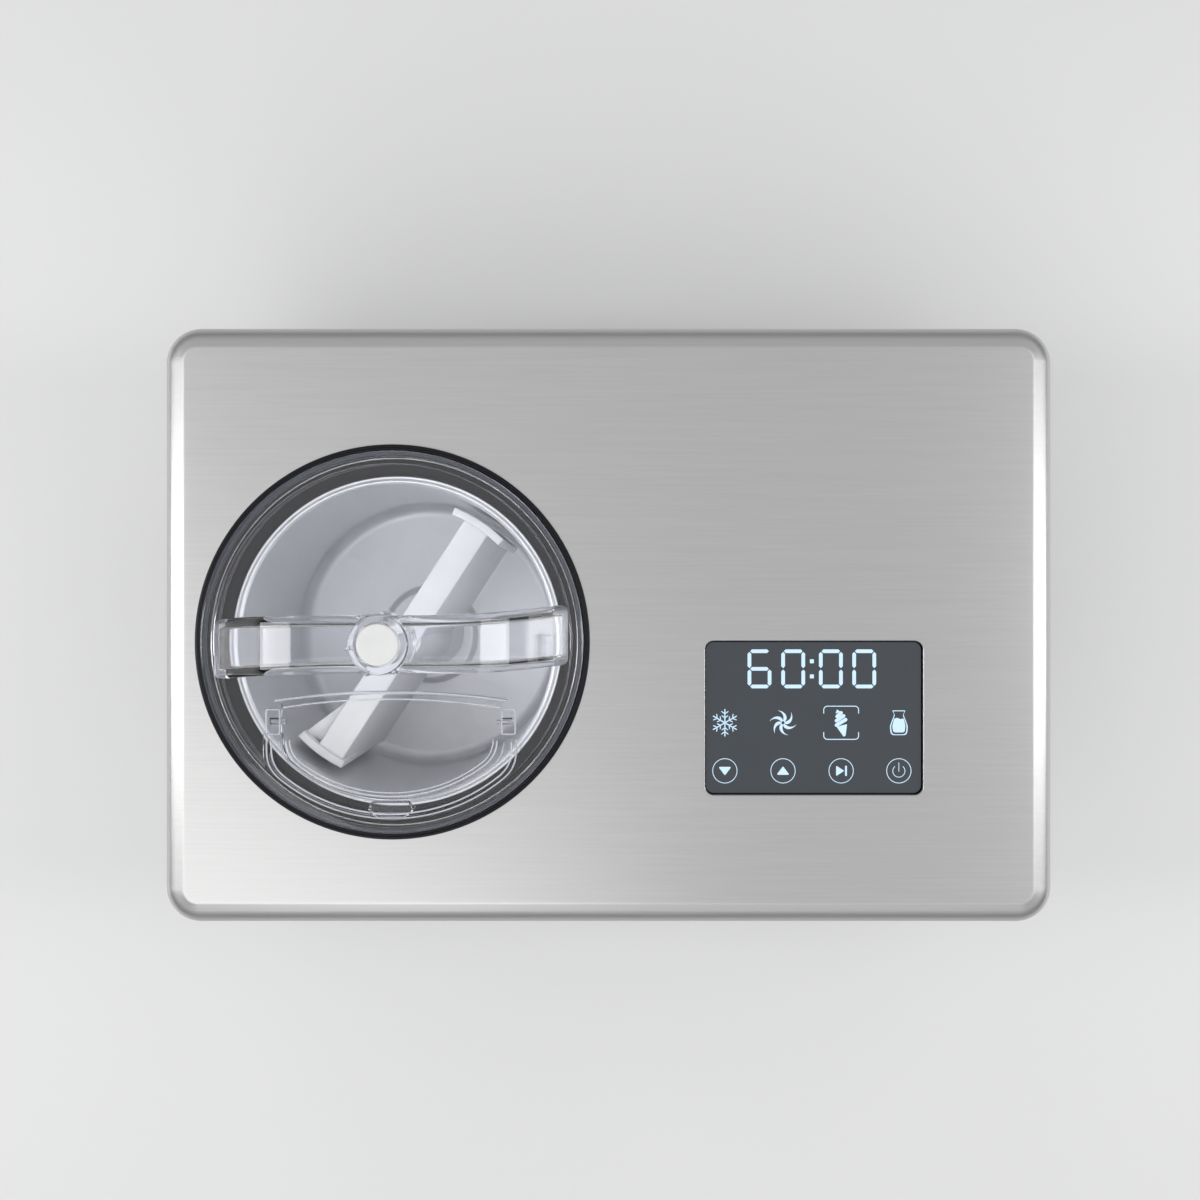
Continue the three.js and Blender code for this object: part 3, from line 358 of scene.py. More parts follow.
def filleted(points, radius=0.0, steps=5, closed=True):
    """A 2D polyline with its corners rounded. A point may bring its own radius as a third value."""
    out = []
    for i, point in enumerate(points):
        here = Vector(point[:2])
        size = point[2] if len(point) > 2 else radius
        if not size or (not closed and i in (0, len(points) - 1)):
            out.append(here)
            continue
        before = Vector(points[i - 1][:2]) - here
        after = Vector(points[(i + 1) % len(points)][:2]) - here
        half = before.angle(after) / 2
        back = min(size / math.tan(half), before.length * 0.49, after.length * 0.49)
        centre = here + (before.normalized() + after.normalized()).normalized() * back / math.cos(half)
        start = here + before.normalized() * back - centre
        end = here + after.normalized() * back - centre
        sweep = math.atan2(start.x * end.y - start.y * end.x, start.dot(end))
        for step in range(steps + 1):
            turn = Matrix.Rotation(sweep * step / steps, 2)
            out.append(centre + turn @ start)
    return out


def rectangle(width, depth, radius=0.0, x=0.0, y=0.0, steps=8):
    w, d = width / 2, depth / 2
    corners = [(x + w, y - d), (x + w, y + d), (x - w, y + d), (x - w, y - d)]
    return filleted(corners, radius, steps)


def circle(radius, x=0.0, y=0.0, sides=96):
    turns = [math.tau * i / sides for i in range(sides)]
    return [Vector((x + radius * math.cos(a), y + radius * math.sin(a))) for a in turns]


def arc(radius, start, end, steps=24, x=0.0, y=0.0):
    """Points along an arc between two angles in degrees."""
    angles = [math.radians(start + (end - start) * i / steps) for i in range(steps + 1)]
    return [Vector((x + radius * math.cos(a), y + radius * math.sin(a))) for a in angles]


def capsule(a, b, width, steps=8):
    """The outline of a straight stroke with round ends."""
    a, b = Vector(a), Vector(b)
    heading = math.degrees(math.atan2(b.y - a.y, b.x - a.x))
    first = arc(width / 2, heading + 90, heading + 270, steps, *a)
    return first + arc(width / 2, heading - 90, heading + 90, steps, *b)


def heading_at(points, i):
    """The direction of an open line at one of its points."""
    return (points[min(i + 1, len(points) - 1)] - points[max(i - 1, 0)]).normalized()


def ribbon(points, width):
    """The outline of a bent line of constant width, with square ends."""
    right, left = [], []
    for i, here in enumerate(points):
        heading = heading_at(points, i)
        side = Vector((-heading.y, heading.x)) * width / 2
        right.append(here - side)
        left.append(here + side)
    return right + list(reversed(left))


def quadratic(a, b, c, t):
    """The point at a share t of a curve that leaves a towards b and comes from b to c."""
    return a * (1 - t) ** 2 + b * 2 * t * (1 - t) + c * t ** 2


def edge_profile(bottom, top, bevel, steps=3):
    """The [inset, height] steps of a plain wall with rounded edges."""
    curve = [(bevel * (1 - math.sin(t)), bevel * (1 - math.cos(t)))
             for t in (math.pi / 2 * i / steps for i in range(steps + 1))]
    lower = [(inset, bottom + rise) for inset, rise in curve]
    upper = [(inset, top - rise) for inset, rise in reversed(curve)]
    return lower + upper


# ---------------------------------------------------------------- meshes

def mesh_object(name, points, faces, sharp=35):
    """A smooth-shaded mesh from points in millimetres, with edges left sharp past an angle in degrees."""
    mesh = bpy.data.meshes.new(name)
    mesh.from_pydata([Vector(p) * MM for p in points], [], faces)
    shape = bmesh.new()
    shape.from_mesh(mesh)
    bmesh.ops.remove_doubles(shape, verts=shape.verts, dist=1e-7)
    bmesh.ops.recalc_face_normals(shape, faces=shape.faces)
    shape.to_mesh(mesh)
    shape.free()
    thing = bpy.data.objects.new(name, mesh)
    bpy.context.scene.collection.objects.link(thing)
    return smoothed(thing, sharp)


def smoothed(thing, sharp=35):
    thing.data.shade_smooth()
    thing.data.set_sharp_from_angle(angle=math.radians(sharp))
    return thing


def revolved(name, profile, x=None, y=None, sides=144, sharp=35):
    """Turns [radius, height] points about an upright axis. They form a loop unless they start on the axis."""
    x = BOWL.x if x is None else x
    y = BOWL.y if y is None else y
    count = len(profile)
    points = [(x + r * math.cos(a), y + r * math.sin(a), z)
              for a in (math.tau * i / sides for i in range(sides)) for r, z in profile]
    on_axis = profile[0][0] == 0
    faces = []
    for side in range(sides):
        here, there = side * count, (side + 1) % sides * count
        for i in range(count - 1 if on_axis else count):
            j = (i + 1) % count
            faces.append((here + i, there + i, there + j, here + j))
    return mesh_object(name, points, faces, sharp)


def layered(name, loops, place=None, sharp=35):
    """A solid between flat caps. Each loop is an outline, with the material on its left, and the
    [inset, height] steps that its wall goes through from the lower cap to the upper one."""
    points, faces, caps = [], [], ([], [])
    for outline, profile in loops:
        count = len(outline)
        first = len(points)
        inward = inward_directions(outline)
        for inset, height in profile:
            points += [(p.x + n.x * inset, p.y + n.y * inset, height) for p, n in zip(outline, inward)]
        for row in range(len(profile) - 1):
            for i in range(count):
                a, b = first + row * count + i, first + row * count + (i + 1) % count
                faces.append((a, b, b + count, a + count))
        caps[0].append(list(range(first, first + count)))
        caps[1].append(list(range(len(points) - count, len(points))))
    for rings in caps:
        flat = [index for ring in rings for index in ring]
        for a, b, c in tessellate_polygon([[Vector(points[i]) for i in ring] for ring in rings]):
            faces.append((flat[a], flat[b], flat[c]))
    if place:
        points = [place @ Vector(p) for p in points]
    return mesh_object(name, points, faces, sharp)


def inward_directions(outline):
    """The direction that moves each point of an outline to its left, lengthened at corners."""
    out = []
    for i, here in enumerate(outline):
        before = (here - outline[i - 1]).normalized()
        after = (outline[(i + 1) % len(outline)] - here).normalized()
        left = Vector((-before.y - after.y, before.x + after.x))
        left.normalize()
        out.append(left / max(left.dot(Vector((-after.y, after.x))), 0.35))
    return out


def plate(name, outline, bottom, top, holes=(), bevel=0.4, place=None, sharp=35):
    """A flat plate with rounded edges and holes."""
    wall = edge_profile(bottom, top, bevel)
    loops = [(outline, wall)] + [(list(reversed(hole)), wall) for hole in holes]
    return layered(name, loops, place, sharp)


def about_bowl(name, outline, bottom, top, bevel=0.02):
    """A plate drawn about the bowl's axis, with nearly square edges unless it has a bevel of its own."""
    return plate(name, outline, bottom, top, bevel=bevel, place=AT_BOWL)


def combined(target, tools, operation):
    """Booleans applied one after another, each tool removed."""
    for tool in tools:
        modifier = target.modifiers.new(operation, "BOOLEAN")
        modifier.operation = operation
        modifier.solver = "EXACT"
        modifier.object = tool
        apply_modifiers(target)
        bpy.data.objects.remove(tool)
    return smoothed(target)


def apply_modifiers(thing):
    graph = bpy.context.evaluated_depsgraph_get()
    mesh = bpy.data.meshes.new_from_object(thing.evaluated_get(graph))
    thing.modifiers.clear()
    thing.data = mesh


def flat_faces_even(thing):
    """Large faces keep their own shading beside a rounded edge."""
    modifier = thing.modifiers.new("flat", "WEIGHTED_NORMAL")
    modifier.keep_sharp = True
    apply_modifiers(thing)


def joined(name, pieces):
    """Separate shells kept as one object."""
    shape = bmesh.new()
    for piece in pieces:
        shape.from_mesh(piece.data)
        bpy.data.objects.remove(piece)
    mesh = bpy.data.meshes.new(name)
    shape.to_mesh(mesh)
    shape.free()
    thing = bpy.data.objects.new(name, mesh)
    bpy.context.scene.collection.objects.link(thing)
    return smoothed(thing)


def stand_for(piece, node, slot=None):
    """The finished piece takes a CAD node's place, body and material slot."""
    slot = slot or SLOT_OF[node]
    piece.name = piece.data.name = f"{node}_skin"
    piece.data.materials.clear()
    piece.data.materials.append(FINISHES[slot])
    flat_faces_even(piece)
    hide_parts(node)
    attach(piece, BODY_OF[node])
    return piece


RECORD = frame["record"]
SLOT_OF = {part["node"]: part["material_slot"] for part in RECORD["subparts"]}
BODY_OF = {node: body for body, nodes in RECORD["behaviour"]["bodies"].items() for node in nodes}


# ---------------------------------------------------------------- housing

def top_plate():
    """A pressed steel sheet with a crease, a sloping band and a rolled rim."""
    box = high("top_plate") - low("top_plate")
    outline = rectangle(box.x, box.y, 17, steps=14)
    sheet, bend = 1.0, 9.75
    crease, slope = 10.3, math.radians(17)
    outer = [(bend * (1 - math.sin(a)), SKIRT + 0.6 + bend * math.cos(a))
             for a in (math.radians(90 - 73 * i / 12) for i in range(13))]
    rim = [(0, SKIRT), *outer, (crease - 0.5, TOP - 0.5 * math.sin(slope) - 0.02),
           (crease + 0.1, TOP - 0.03), (crease + 0.8, TOP), (crease + 2.2, TOP)]
    under = [(inset + sheet * 0.9, height - sheet) for inset, height in reversed(rim[5:-1])]
    wall = [(crease + 3.2, TOP - sheet), *under, (sheet, SKIRT), *rim]
    hole = list(reversed(circle(92.9, BOWL.x, BOWL.y, 144)))
    play = 0.5
    window = rectangle(SCREEN_SIZE.x + play, SCREEN_SIZE.y + play, 4.2, SCREEN.x, SCREEN.y)
    lip = [(0.6, TOP - sheet), (0, TOP - sheet - 1.2), (0, TOP - 0.7), (0.1, TOP - 0.3), (0.35, TOP - 0.08),
           (0.8, TOP), (2.0, TOP)]
    plain = [(0.3, TOP - sheet), (0, TOP - sheet + 0.2), (0, TOP - 0.2), (0.3, TOP), (1.2, TOP)]
    loops = [(outline, wall), (hole, plain), (list(reversed(window)), lip)]
    stand_for(layered("top", loops, sharp=24), "top_plate")


def ring_wall(name, width, depth, radius, wall, bottom, top):
    outline = rectangle(width, depth, radius, steps=14)
    inside = rectangle(width - 2 * wall, depth - 2 * wall, radius - wall, steps=14)
    return plate(name, outline, bottom, top, [inside], 0.35)


def upright(y, mirror=1):
    """Stands a plate drawn in X and Y up in X and Z, with its height along Y."""
    return Matrix(((1, 0, 0, 0), (0, 0, mirror, y), (0, 1, 0, 0), (0, 0, 0, 1)))


def body_wrap():
    box_low, box_high = low("body_wrap"), high("body_wrap")
    size = box_high - box_low
    wrap = ring_wall("wrap", size.x, size.y, 16, 2, box_low.z, box_high.z)
    window = rectangle(380, 166, 6, 0, 107)
    cutters = [plate("window", window, 0, 24, bevel=0.1, place=upright(128))]
    slot_turn = Matrix(((0, 0, 1, -225), (1, 0, 0, 0), (0, 1, 0, 0), (0, 0, 0, 1)))
    slots = []
    rows, lowest, pitch = 8, 52.5, 13
    for row in range(rows):
        outline = rectangle(110, 5, 2.45, 20, lowest + row * pitch)
        slots.append(plate("slot", outline, 0, 450, bevel=0.1, place=slot_turn))
    combined(wrap, cutters + [joined("slots", slots)], "DIFFERENCE")
    stand_for(wrap, "body_wrap")


def rear_panel():
    box_low, box_high = low("rear_panel"), high("rear_panel")
    size, centre = box_high - box_low, (box_low + box_high) / 2
    outline = rectangle(size.x, size.z, 5.5, centre.x, centre.z)
    holes = [rectangle(6, 78, 2.9, 25 + column * 13, 121, 4) for column in range(9)]
    inlet = middle("mains_inlet")
    holes.append(rectangle(27.8, 19.8, 1.5, inlet.x, inlet.z, 4))
    screws = [middle(f"rear_screw_{i}") for i in range(1, 5)]
    holes += [circle(2.2, s.x, s.z, 20) for s in screws]
    panel = plate("panel", outline, 0, size.y, holes, 0.35, upright(box_low.y))
    stand_for(panel, "rear_panel")


def base_tray():
    box_low, box_high = low("base_tray"), high("base_tray")
    size = box_high - box_low
    outline = rectangle(size.x, size.y, 16, steps=14)
    bottom, floor_top, top = box_low.z, 12, box_high.z
    slots = [rectangle(50, 6, 2.9, 175, -17 + row * 16, 4) for row in range(5)]
    bores = [circle(2.4, middle(f"foot_{i}").x, middle(f"foot_{i}").y, 20) for i in range(1, 5)]
    wall = [(2.6, bottom), (0.9, bottom + 0.5), (0, bottom + 1.9), (0, floor_top - 0.3), (0.3, floor_top),
            (2.6, floor_top), (2.6, top - 0.3), (2.9, top), (4.5, top), (4.8, top - 0.3),
            (4.8, floor_top + 0.6), (5.4, floor_top)]
    plain = [(0.2, bottom), (0, bottom + 0.2), (0, floor_top - 0.2), (0.2, floor_top)]
    loops = [(outline, wall)] + [(list(reversed(hole)), plain) for hole in slots + bores]
    stand_for(layered("tray", loops), "base_tray")


def foot(i):
    place, top = middle(f"foot_{i}"), high(f"foot_{i}").z
    radius = reach(f"foot_{i}")
    bore, recess, seat = 2.8, 5.2, 3.6
    profile = [(recess, 0), (radius - 1.5, 0, 1.2), (radius, top, 0.4), (bore, top), (bore, seat),
               (recess, seat, 0.3)]
    pad = revolved("pad", filleted(profile, 0.2), place.x, place.y, 64)
    stand_for(pad, f"foot_{i}")
    screw = [(0, 1.3), (2.2, 1.3, 0.3), (4.2, 1.8, 0.6), (4.4, 3.3), (1.9, 3.3), (1.9, 15, 0.4), (0, 15)]
    head = revolved("screw", filleted(screw, 0.1, closed=False), place.x, place.y, 48)
    stand_for(cross_cut(head, place.x, place.y, 0.4, 2.6), f"foot_screw_{i}")


def cross_cut(head, x, y, bottom, top):
    """A cross recess in an upright screw's head."""
    arms = [plate("arm", rectangle(4.6, 0.95, 0.2, x, y, 2), bottom, top, bevel=0.05),
            plate("arm", rectangle(0.95, 4.6, 0.2, x, y, 2), bottom, top, bevel=0.05)]
    return combined(head, arms, "DIFFERENCE")


def rear_screw(i):
    place, base = middle(f"rear_screw_{i}"), low(f"rear_screw_{i}").y
    profile = [(0, 0), (3.8, 0, 0.2), (3.5, 1.2, 0.6), (2.4, 1.95, 0.8), (0, 2)]
    head = revolved("head", filleted(profile, 0.1, closed=False), 0, 0, 48)
    head = cross_cut(head, 0, 0, 0.8, 3)
    spot = Matrix.Translation(Vector((place.x, base, place.z)) * MM)
    head.data.transform(spot @ Matrix.Rotation(-math.pi / 2, 4, "X"))
    stand_for(head, f"rear_screw_{i}")


def mains_inlet():
    x, _, z = middle("mains_inlet")
    front, back = high("mains_inlet").y, low("mains_inlet").y
    flange = rectangle(34, 26, 2, x, z)
    throat = rectangle(27, 19, 1.2, x, z)
    mouth = filleted([(x - 11, z - 7, 1.2), (x + 11, z - 7, 1.2), (x + 11, z + 3, 0.6), (x + 7, z + 7, 0.6),
                      (x - 7, z + 7, 0.6), (x - 11, z + 3, 0.6)], steps=4)
    pieces = [plate("flange", flange, 0, 1.5, [mouth], 0.4, upright(front - 1.5)),
              plate("throat", throat, 0, front - 1.4 - back - 5, [mouth], 0.1, upright(back + 5)),
              plate("back", throat, 0, 5.1, (), 0.1, upright(back))]
    pin_root, pin_length = 121, 15
    for dx, dz in ((-7, 2), (0, -2.5), (7, 2)):
        pin = rectangle(2, 4, 0.4, x + dx, z + dz, 3)
        pieces.append(plate("pin", pin, 0, pin_length, (), 0.4, upright(pin_root)))
    stand_for(joined("inlet", pieces), "mains_inlet")


def housing():
    top_plate()
    body_wrap()
    rear_panel()
    base_tray()
    mains_inlet()
    for i in range(1, 5):
        foot(i)
        rear_screw(i)


# ---------------------------------------------------------------- bowl and collar

def sector(inner, outer, bottom, top, start, end, bevel=0.02):
    """Part of a ring about the bowl's axis, between two angles in degrees."""
    steps = max(4, round(abs(end - start) / 2.5))
    outline = arc(outer, start, end, steps) + arc(inner, end, start, steps)
    return about_bowl("sector", outline, bottom, top, bevel)


def collar_ring():
    """A flange, a ledge for the lid's seal and a shelf at the foot, with a bayonet track for each lug."""
    flange, mouth, outside, inside, shelf = 93.7, 91, 92.2, 88.4, 78.6
    seat, ledge, shelf_top, foot = TOP + 0.3, 212, 194.4, 190.4
    profile = [(flange, seat, 0.15), (flange, seat + 1.1, 0.55), (92.6, seat + 1.3, 0.5),
               (91.9, seat + 0.9, 0.3), (mouth, seat + 0.9, 0.35), (mouth, ledge, 0.2), (inside, ledge, 0.4),
               (inside, shelf_top, 0.6), (shelf, shelf_top, 0.8), (shelf, foot, 0.3), (outside, foot, 0.3),
               (outside, seat, 0.1)]
    ring = revolved("collar", filleted(profile, steps=6))
    tracks = []
    back, track_low, track_high = 90.5, 202.4, 206.6
    for angle in LUG_ANGLES:
        tracks.append(sector(86.4, back, track_low, ledge + 0.5, angle - 5.2, angle + 5.2))
        tracks.append(sector(86.4, back, track_low, track_high, angle - 25.3, angle + 5.3))
    stand_for(combined(ring, tracks, "DIFFERENCE"), "collar_ring")


def evaporator_well():
    hole, inside, outside, flange = 10, 78.5, 80, 88
    bottom, floor, under, top = 46, 47.5, 188.6, 190.1
    profile = [(hole, bottom), (outside, bottom, 5), (outside, under, 1.5), (flange, under, 0.3),
               (flange, top, 0.3), (inside, top, 1.6), (inside, floor, 4), (hole, floor, 0.3)]
    stand_for(revolved("well", filleted(profile, steps=6)), "evaporator_well")


def mixing_bowl():
    """A rolled rim, a raised boss in the floor and an open sleeve for the drive shaft."""
    inside, outside, rim = 76, 77.2, 80.2
    bore, sleeve, sleeve_top = 6.4, 8.6, 100
    bottom, floor, crown = 49.6, 51.2, 57.2
    profile = [(bore, bottom, 0.3), (outside, bottom, 8), (outside, RIM - 2.3, 0.6), (rim, RIM - 2.3, 0.5),
               (rim, RIM - 0.5, 0.9), (79, RIM - 0.6, 0.4), (77.4, RIM, 0.9), (inside, RIM - 1.4, 1.3),
               (inside, floor, 8), (28.5, floor, 1.6), (25.5, crown, 2.0), (sleeve, crown, 1.5),
               (sleeve, sleeve_top, 0.6), (bore, sleeve_top, 0.3)]
    stand_for(revolved("bowl", filleted(profile, steps=8)), "mixing_bowl")


# ---------------------------------------------------------------- paddle

def lofted(name, rings, sharp=35):
    """A solid through closed rings of 3D points, with flat ends."""
    count = len(rings[0])
    points = [p for ring in rings for p in ring]
    faces = []
    for row in range(len(rings) - 1):
        for i in range(count):
            a, b = row * count + i, row * count + (i + 1) % count
            faces.append((a, b, b + count, a + count))
    faces += [tuple(range(count)), tuple(range(len(points) - count, len(points)))]
    return mesh_object(name, points, faces, sharp)


def paddle_wing(side, scrape):
    """One wing: a level bar, a blade leaning out beneath it, and a scraper at its tip between two angles."""
    place = AT_BOWL @ Matrix.Rotation(math.radians(PADDLE_ANGLE), 4, "Z") @ Matrix.Diagonal((side, 1, 1, 1))
    bar_top, foot_height, skin, lean, edge = 176, 58, 3, 4, -4
    bar = plate("bar", rectangle(69, 14, 0.6, 33.5, 0, 4), bar_top - skin, bar_top, bevel=0.7, place=place)
    rings = []
    blade_top, blade_reach, steps = bar_top - 1, 69.5, 8
    blade_height = blade_top - foot_height
    for step in range(steps + 1):
        height = foot_height + blade_height * step / steps
        y = edge - lean * (blade_top - height) / blade_height
        tip = math.sqrt(blade_reach ** 2 - (y - skin) ** 2) - 1
        outline = filleted([(2, y - skin), (tip, y - skin), (tip, y), (2, y)], 0.9, 4)
        rings.append([place @ Vector((p.x, p.y, height)) for p in outline])
    blade = lofted("blade", rings)
    first, last = scrape
    outer, inner = arc(71, first, last, 20), arc(67, last, first, 20)
    corners = (outer[0], outer[-1], inner[0], inner[-1])
    curve = filleted([(*p, 1.4 if p in corners else 0.0) for p in outer + inner], steps=3)
    scraper = plate("scraper", curve, foot_height, bar_top + 3, bevel=0.8, place=place)
    if side > 0:
        return [bar, blade, scraper]
    web = filleted([(38, 6), (66, 6), (66, 16.6, 1.5)], 0.5, 4)
    return [bar, blade, scraper, plate("web", web, bar_top - 8, bar_top - 5, bevel=0.6, place=place)]


def paddle():
    """A flared sleeve that stands over the bowl's own, and two wings that differ."""
    bore, skirt, bore_top, bottom, top = 9.4, 19, 102, 58.8, 175
    profile = [(0, bore_top), (bore, bore_top, 0.3), (bore, bottom, 0.4), (skirt, bottom, 0.6),
               (skirt, 61.2, 1.1), (14.2, 71.2, 6), (12.5, 96, 10), (12.5, 124, 12), (9, top, 0.5), (0, top)]
    sleeve = revolved("sleeve", filleted(profile, closed=False, steps=6), sides=64)
    wings = paddle_wing(1, (-12.5, 11.5)) + paddle_wing(-1, (-7.5, 14.5))
    stand_for(joined("wings", [sleeve, *wings]), "paddle")


# ---------------------------------------------------------------- lid

def front_outline(half, rear, radius, corner=7, steps=40):
    """Straight sides from a rear edge to an arc about the lid's axis, with a soft bend where they meet.
    rear gives the rear edge's points from right to left, or one Y for a straight edge."""
    bend_y = -math.sqrt(radius ** 2 - half ** 2)
    start = math.degrees(math.atan2(bend_y, -half))
    turn = math.degrees(corner / radius)
    front = arc(radius, start + turn, -180 - start - turn, steps)
    side_end, bend = Vector((-half, bend_y + corner)), Vector((-half, bend_y))
    left = [quadratic(side_end, bend, front[0], i / 6) for i in range(6)]
    right = [Vector((-p.x, p.y)) for p in reversed(left)]
    back = [Vector((half, rear)), Vector((-half, rear))] if isinstance(rear, (int, float)) else rear
    return left + front + right + back


def bowed(half, y, rise=4, steps=20):
    """A shallow arc across the lid, from right to left, with its middle further back than its ends."""
    xs = [half - 2 * half * i / steps for i in range(steps + 1)]
    return [Vector((x, y - rise * (x / half) ** 2)) for x in xs]


def softened(thing, width, segments=3, limit=35):
    """Rounds every edge that is sharper than a limit in degrees."""
    modifier = thing.modifiers.new("edges", "BEVEL")
    modifier.width = width * MM
    modifier.segments = segments
    modifier.limit_method = "ANGLE"
    modifier.angle_limit = math.radians(limit)
    modifier.miter_outer = "MITER_ARC"
    apply_modifiers(thing)
    return smoothed(thing, 50)


def lid_disc():
    """A disc with a skirt, three lugs, and a recess for the flap with an opening in its floor."""
    edge, skirt, skirt_inside = 90.6, 87.9, 84.9
    under, skirt_foot = LID_TOP - 2.8, 201
    profile = [(0, LID_TOP), (edge, LID_TOP, 1.2), (edge, TOP, 0.4), (skirt, TOP, 0.3),
               (skirt, skirt_foot, 0.8), (skirt_inside, skirt_foot, 0.8), (skirt_inside, under, 0.9),
               (0, under)]
    disc = revolved("disc", filleted(profile, closed=False, steps=6))
    additions = [about_bowl("tray", front_outline(61, -43.5, 86), under - 2.8, under + 1)]
    for angle in LUG_ANGLES:
        additions.append(sector(86.4, 89.6, 203, 206, angle - 4, angle + 4, bevel=0.4))
    for side in (-1, 1):
        block = rectangle(6.8, 12, 0.8, side * HINGE_X, HINGE_Y, 3)
        additions.append(about_bowl("hinge", block, under + 0.2, LID_TOP + 2.2, 0.5))
    rib = bowed(55, -22.9) + list(reversed(bowed(55, -24.3)))
    additions.append(about_bowl("rib", rib, LID_TOP - 1, LID_TOP + 1.2, 0.3))
    below, above = 190, 230
    cuts = [about_bowl("recess", front_outline(58.1, -45.8, 82.4), under, above),
            about_bowl("opening", front_outline(52, bowed(52, -24.7), 74.6), below, above)]
    for side in (-1, 1):
        bore = plate("bore", circle(1.9, sides=24), -3.6, 3.6, bevel=0.02)
        cuts.append(upright_to_side(bore, side * 53.6))
    lid = combined(combined(disc, additions, "UNION"), cuts, "DIFFERENCE")
    stand_for(softened(lid, 0.6), "lid_disc")


def upright_to_side(pin, x):
    """Lays a short round piece along X on the flap's hinge line."""
    place = AT_BOWL @ Matrix.Translation((x, HINGE_Y, HINGE_Z)) @ Matrix.Rotation(math.pi / 2, 4, "Y")
    metres = Matrix.Scale(MM, 4) @ place @ Matrix.Scale(1 / MM, 4)
    pin.data.transform(metres)
    return pin


def fill_flap():
    """A plate with a shallow chute wall under it, a finger tab at the front and a pin on each side."""
    low_face, wing_y, wing, tail, radius = LID_TOP - 2.4, -46.5, 57.3, 51.4, 81.7
    rear = [Vector((wing, wing_y)), Vector((tail, wing_y)), *bowed(tail, -26.4),
            Vector((-tail, wing_y)), Vector((-wing, wing_y))]
    flap = about_bowl("flap", front_outline(wing, rear, radius), low_face, LID_TOP)
    chute = about_bowl("chute", front_outline(50, -47, 73), 209.5, low_face + 0.5)
    hollow = about_bowl("hollow", front_outline(48.4, -46, 71.4), 200, low_face)
    tab = [(-11, -79.5), (-6, -82.9, 4), (6, -82.9, 4), (11, -79.5), (9.5, -74.6), (-9.5, -74.6)]
    grip = about_bowl("tab", filleted(tab, 3, 6), LID_TOP + 0.3, LID_TOP + 3, 0.9)
    root = about_bowl("root", rectangle(19, 5.6, 2, 0, -77.6), LID_TOP - 1, LID_TOP + 2, 0.1)
    pins = []
    for side in (-1, 1):
        pin = plate("pin", circle(1.2, sides=24), -3.3, 3.3, bevel=0.2)
        pins.append(upright_to_side(pin, side * 53.1))
    flap = combined(combined(flap, [chute], "UNION"), [hollow], "DIFFERENCE")
    flap = combined(flap, [root, grip, *pins], "UNION")
    stand_for(softened(flap, 0.7), "fill_flap")


def bead(points, width, bottom, top):
    """A raised line that is nearly round in section."""
    bevel = min(width, top - bottom) * 0.42
    return about_bowl("bead", ribbon(points, width), bottom, top, bevel)


def front_line(half, rear, radius):
    """The open line down a front outline's left side, round its arc and up its right side."""
    return [Vector((-half, rear))] + front_outline(half, [], radius) + [Vector((half, rear))]


def edge_beads(body, name, beads):
    """Beads that show as one extra piece on the lid or the flap."""
    edges = joined(name, beads)
    # The beads' whitish finish paints highlight lines along the clear piece's edges.
    edges.data.materials.append(EDGE_HIGHLIGHT)
    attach(edges, body)


def lid_edges():
    """Raised edges: round the flap's recess and opening, along the rib, and round the two hinge blocks."""
    bottom, top = LID_TOP - 0.4, LID_TOP + 0.35
    beads = [bead(front_line(58.9, -46, 83.3), 0.8, bottom, top),
             bead(bowed(54.6, -23.6), 1.0, LID_TOP + 1, LID_TOP + 1.6),
             bead(front_line(52.9, -50, 75.6), 0.7, LID_TOP - 2.9, LID_TOP - 2.3)]
    for side in (-1, 1):
        block = rectangle(6.4, 11.6, 0.8, side * HINGE_X, HINGE_Y, 3)
        beads.append(bead(block + block[:1], 0.8, LID_TOP + 1.8, LID_TOP + 2.4))
    edge_beads("lid", "lid_edges", beads)


def flap_edges():
    """Raised edges: round the outer edge, the rear edge, and the two faces of the chute wall."""
    bottom, top = LID_TOP - 0.4, LID_TOP + 0.3
    lines = [(front_line(56.7, -47, 81.1), 0.8), (bowed(51, -26.9), 0.8),
             (front_line(49.9, -47, 72.9), 0.8), (front_line(48.2, -47, 71.2), 0.7)]
    edge_beads("flap", "flap_edges", [bead(line, width, bottom, top) for line, width in lines])


def lid_seal():
    profile = filleted([(88.6, 212.3), (90.4, 212.3), (90.4, 213.7), (88.6, 213.7)], 0.5)
    stand_for(revolved("seal", profile), "lid_seal")


def handle_line(steps=16):
    """Points and headings along the arched handle's outer face, from foot to foot."""
    top, flat = 258, 36
    start, pull, end = Vector((flat, top)), Vector((flat + 13, top)), Vector((flat + 22, top - 10))
    shoulder = [quadratic(start, pull, end, i / steps) for i in range(steps + 1)]
    foot = [end.lerp(Vector((88, LID_TOP - 5)), i / 20) for i in range(1, 21)]
    level = [Vector((flat * i / 10, top)) for i in range(10)]
    right = level + shoulder + foot
    line = [Vector((-p.x, p.y)) for p in reversed(right[1:])] + right
    return [(point, heading_at(line, i)) for i, point in enumerate(line)]


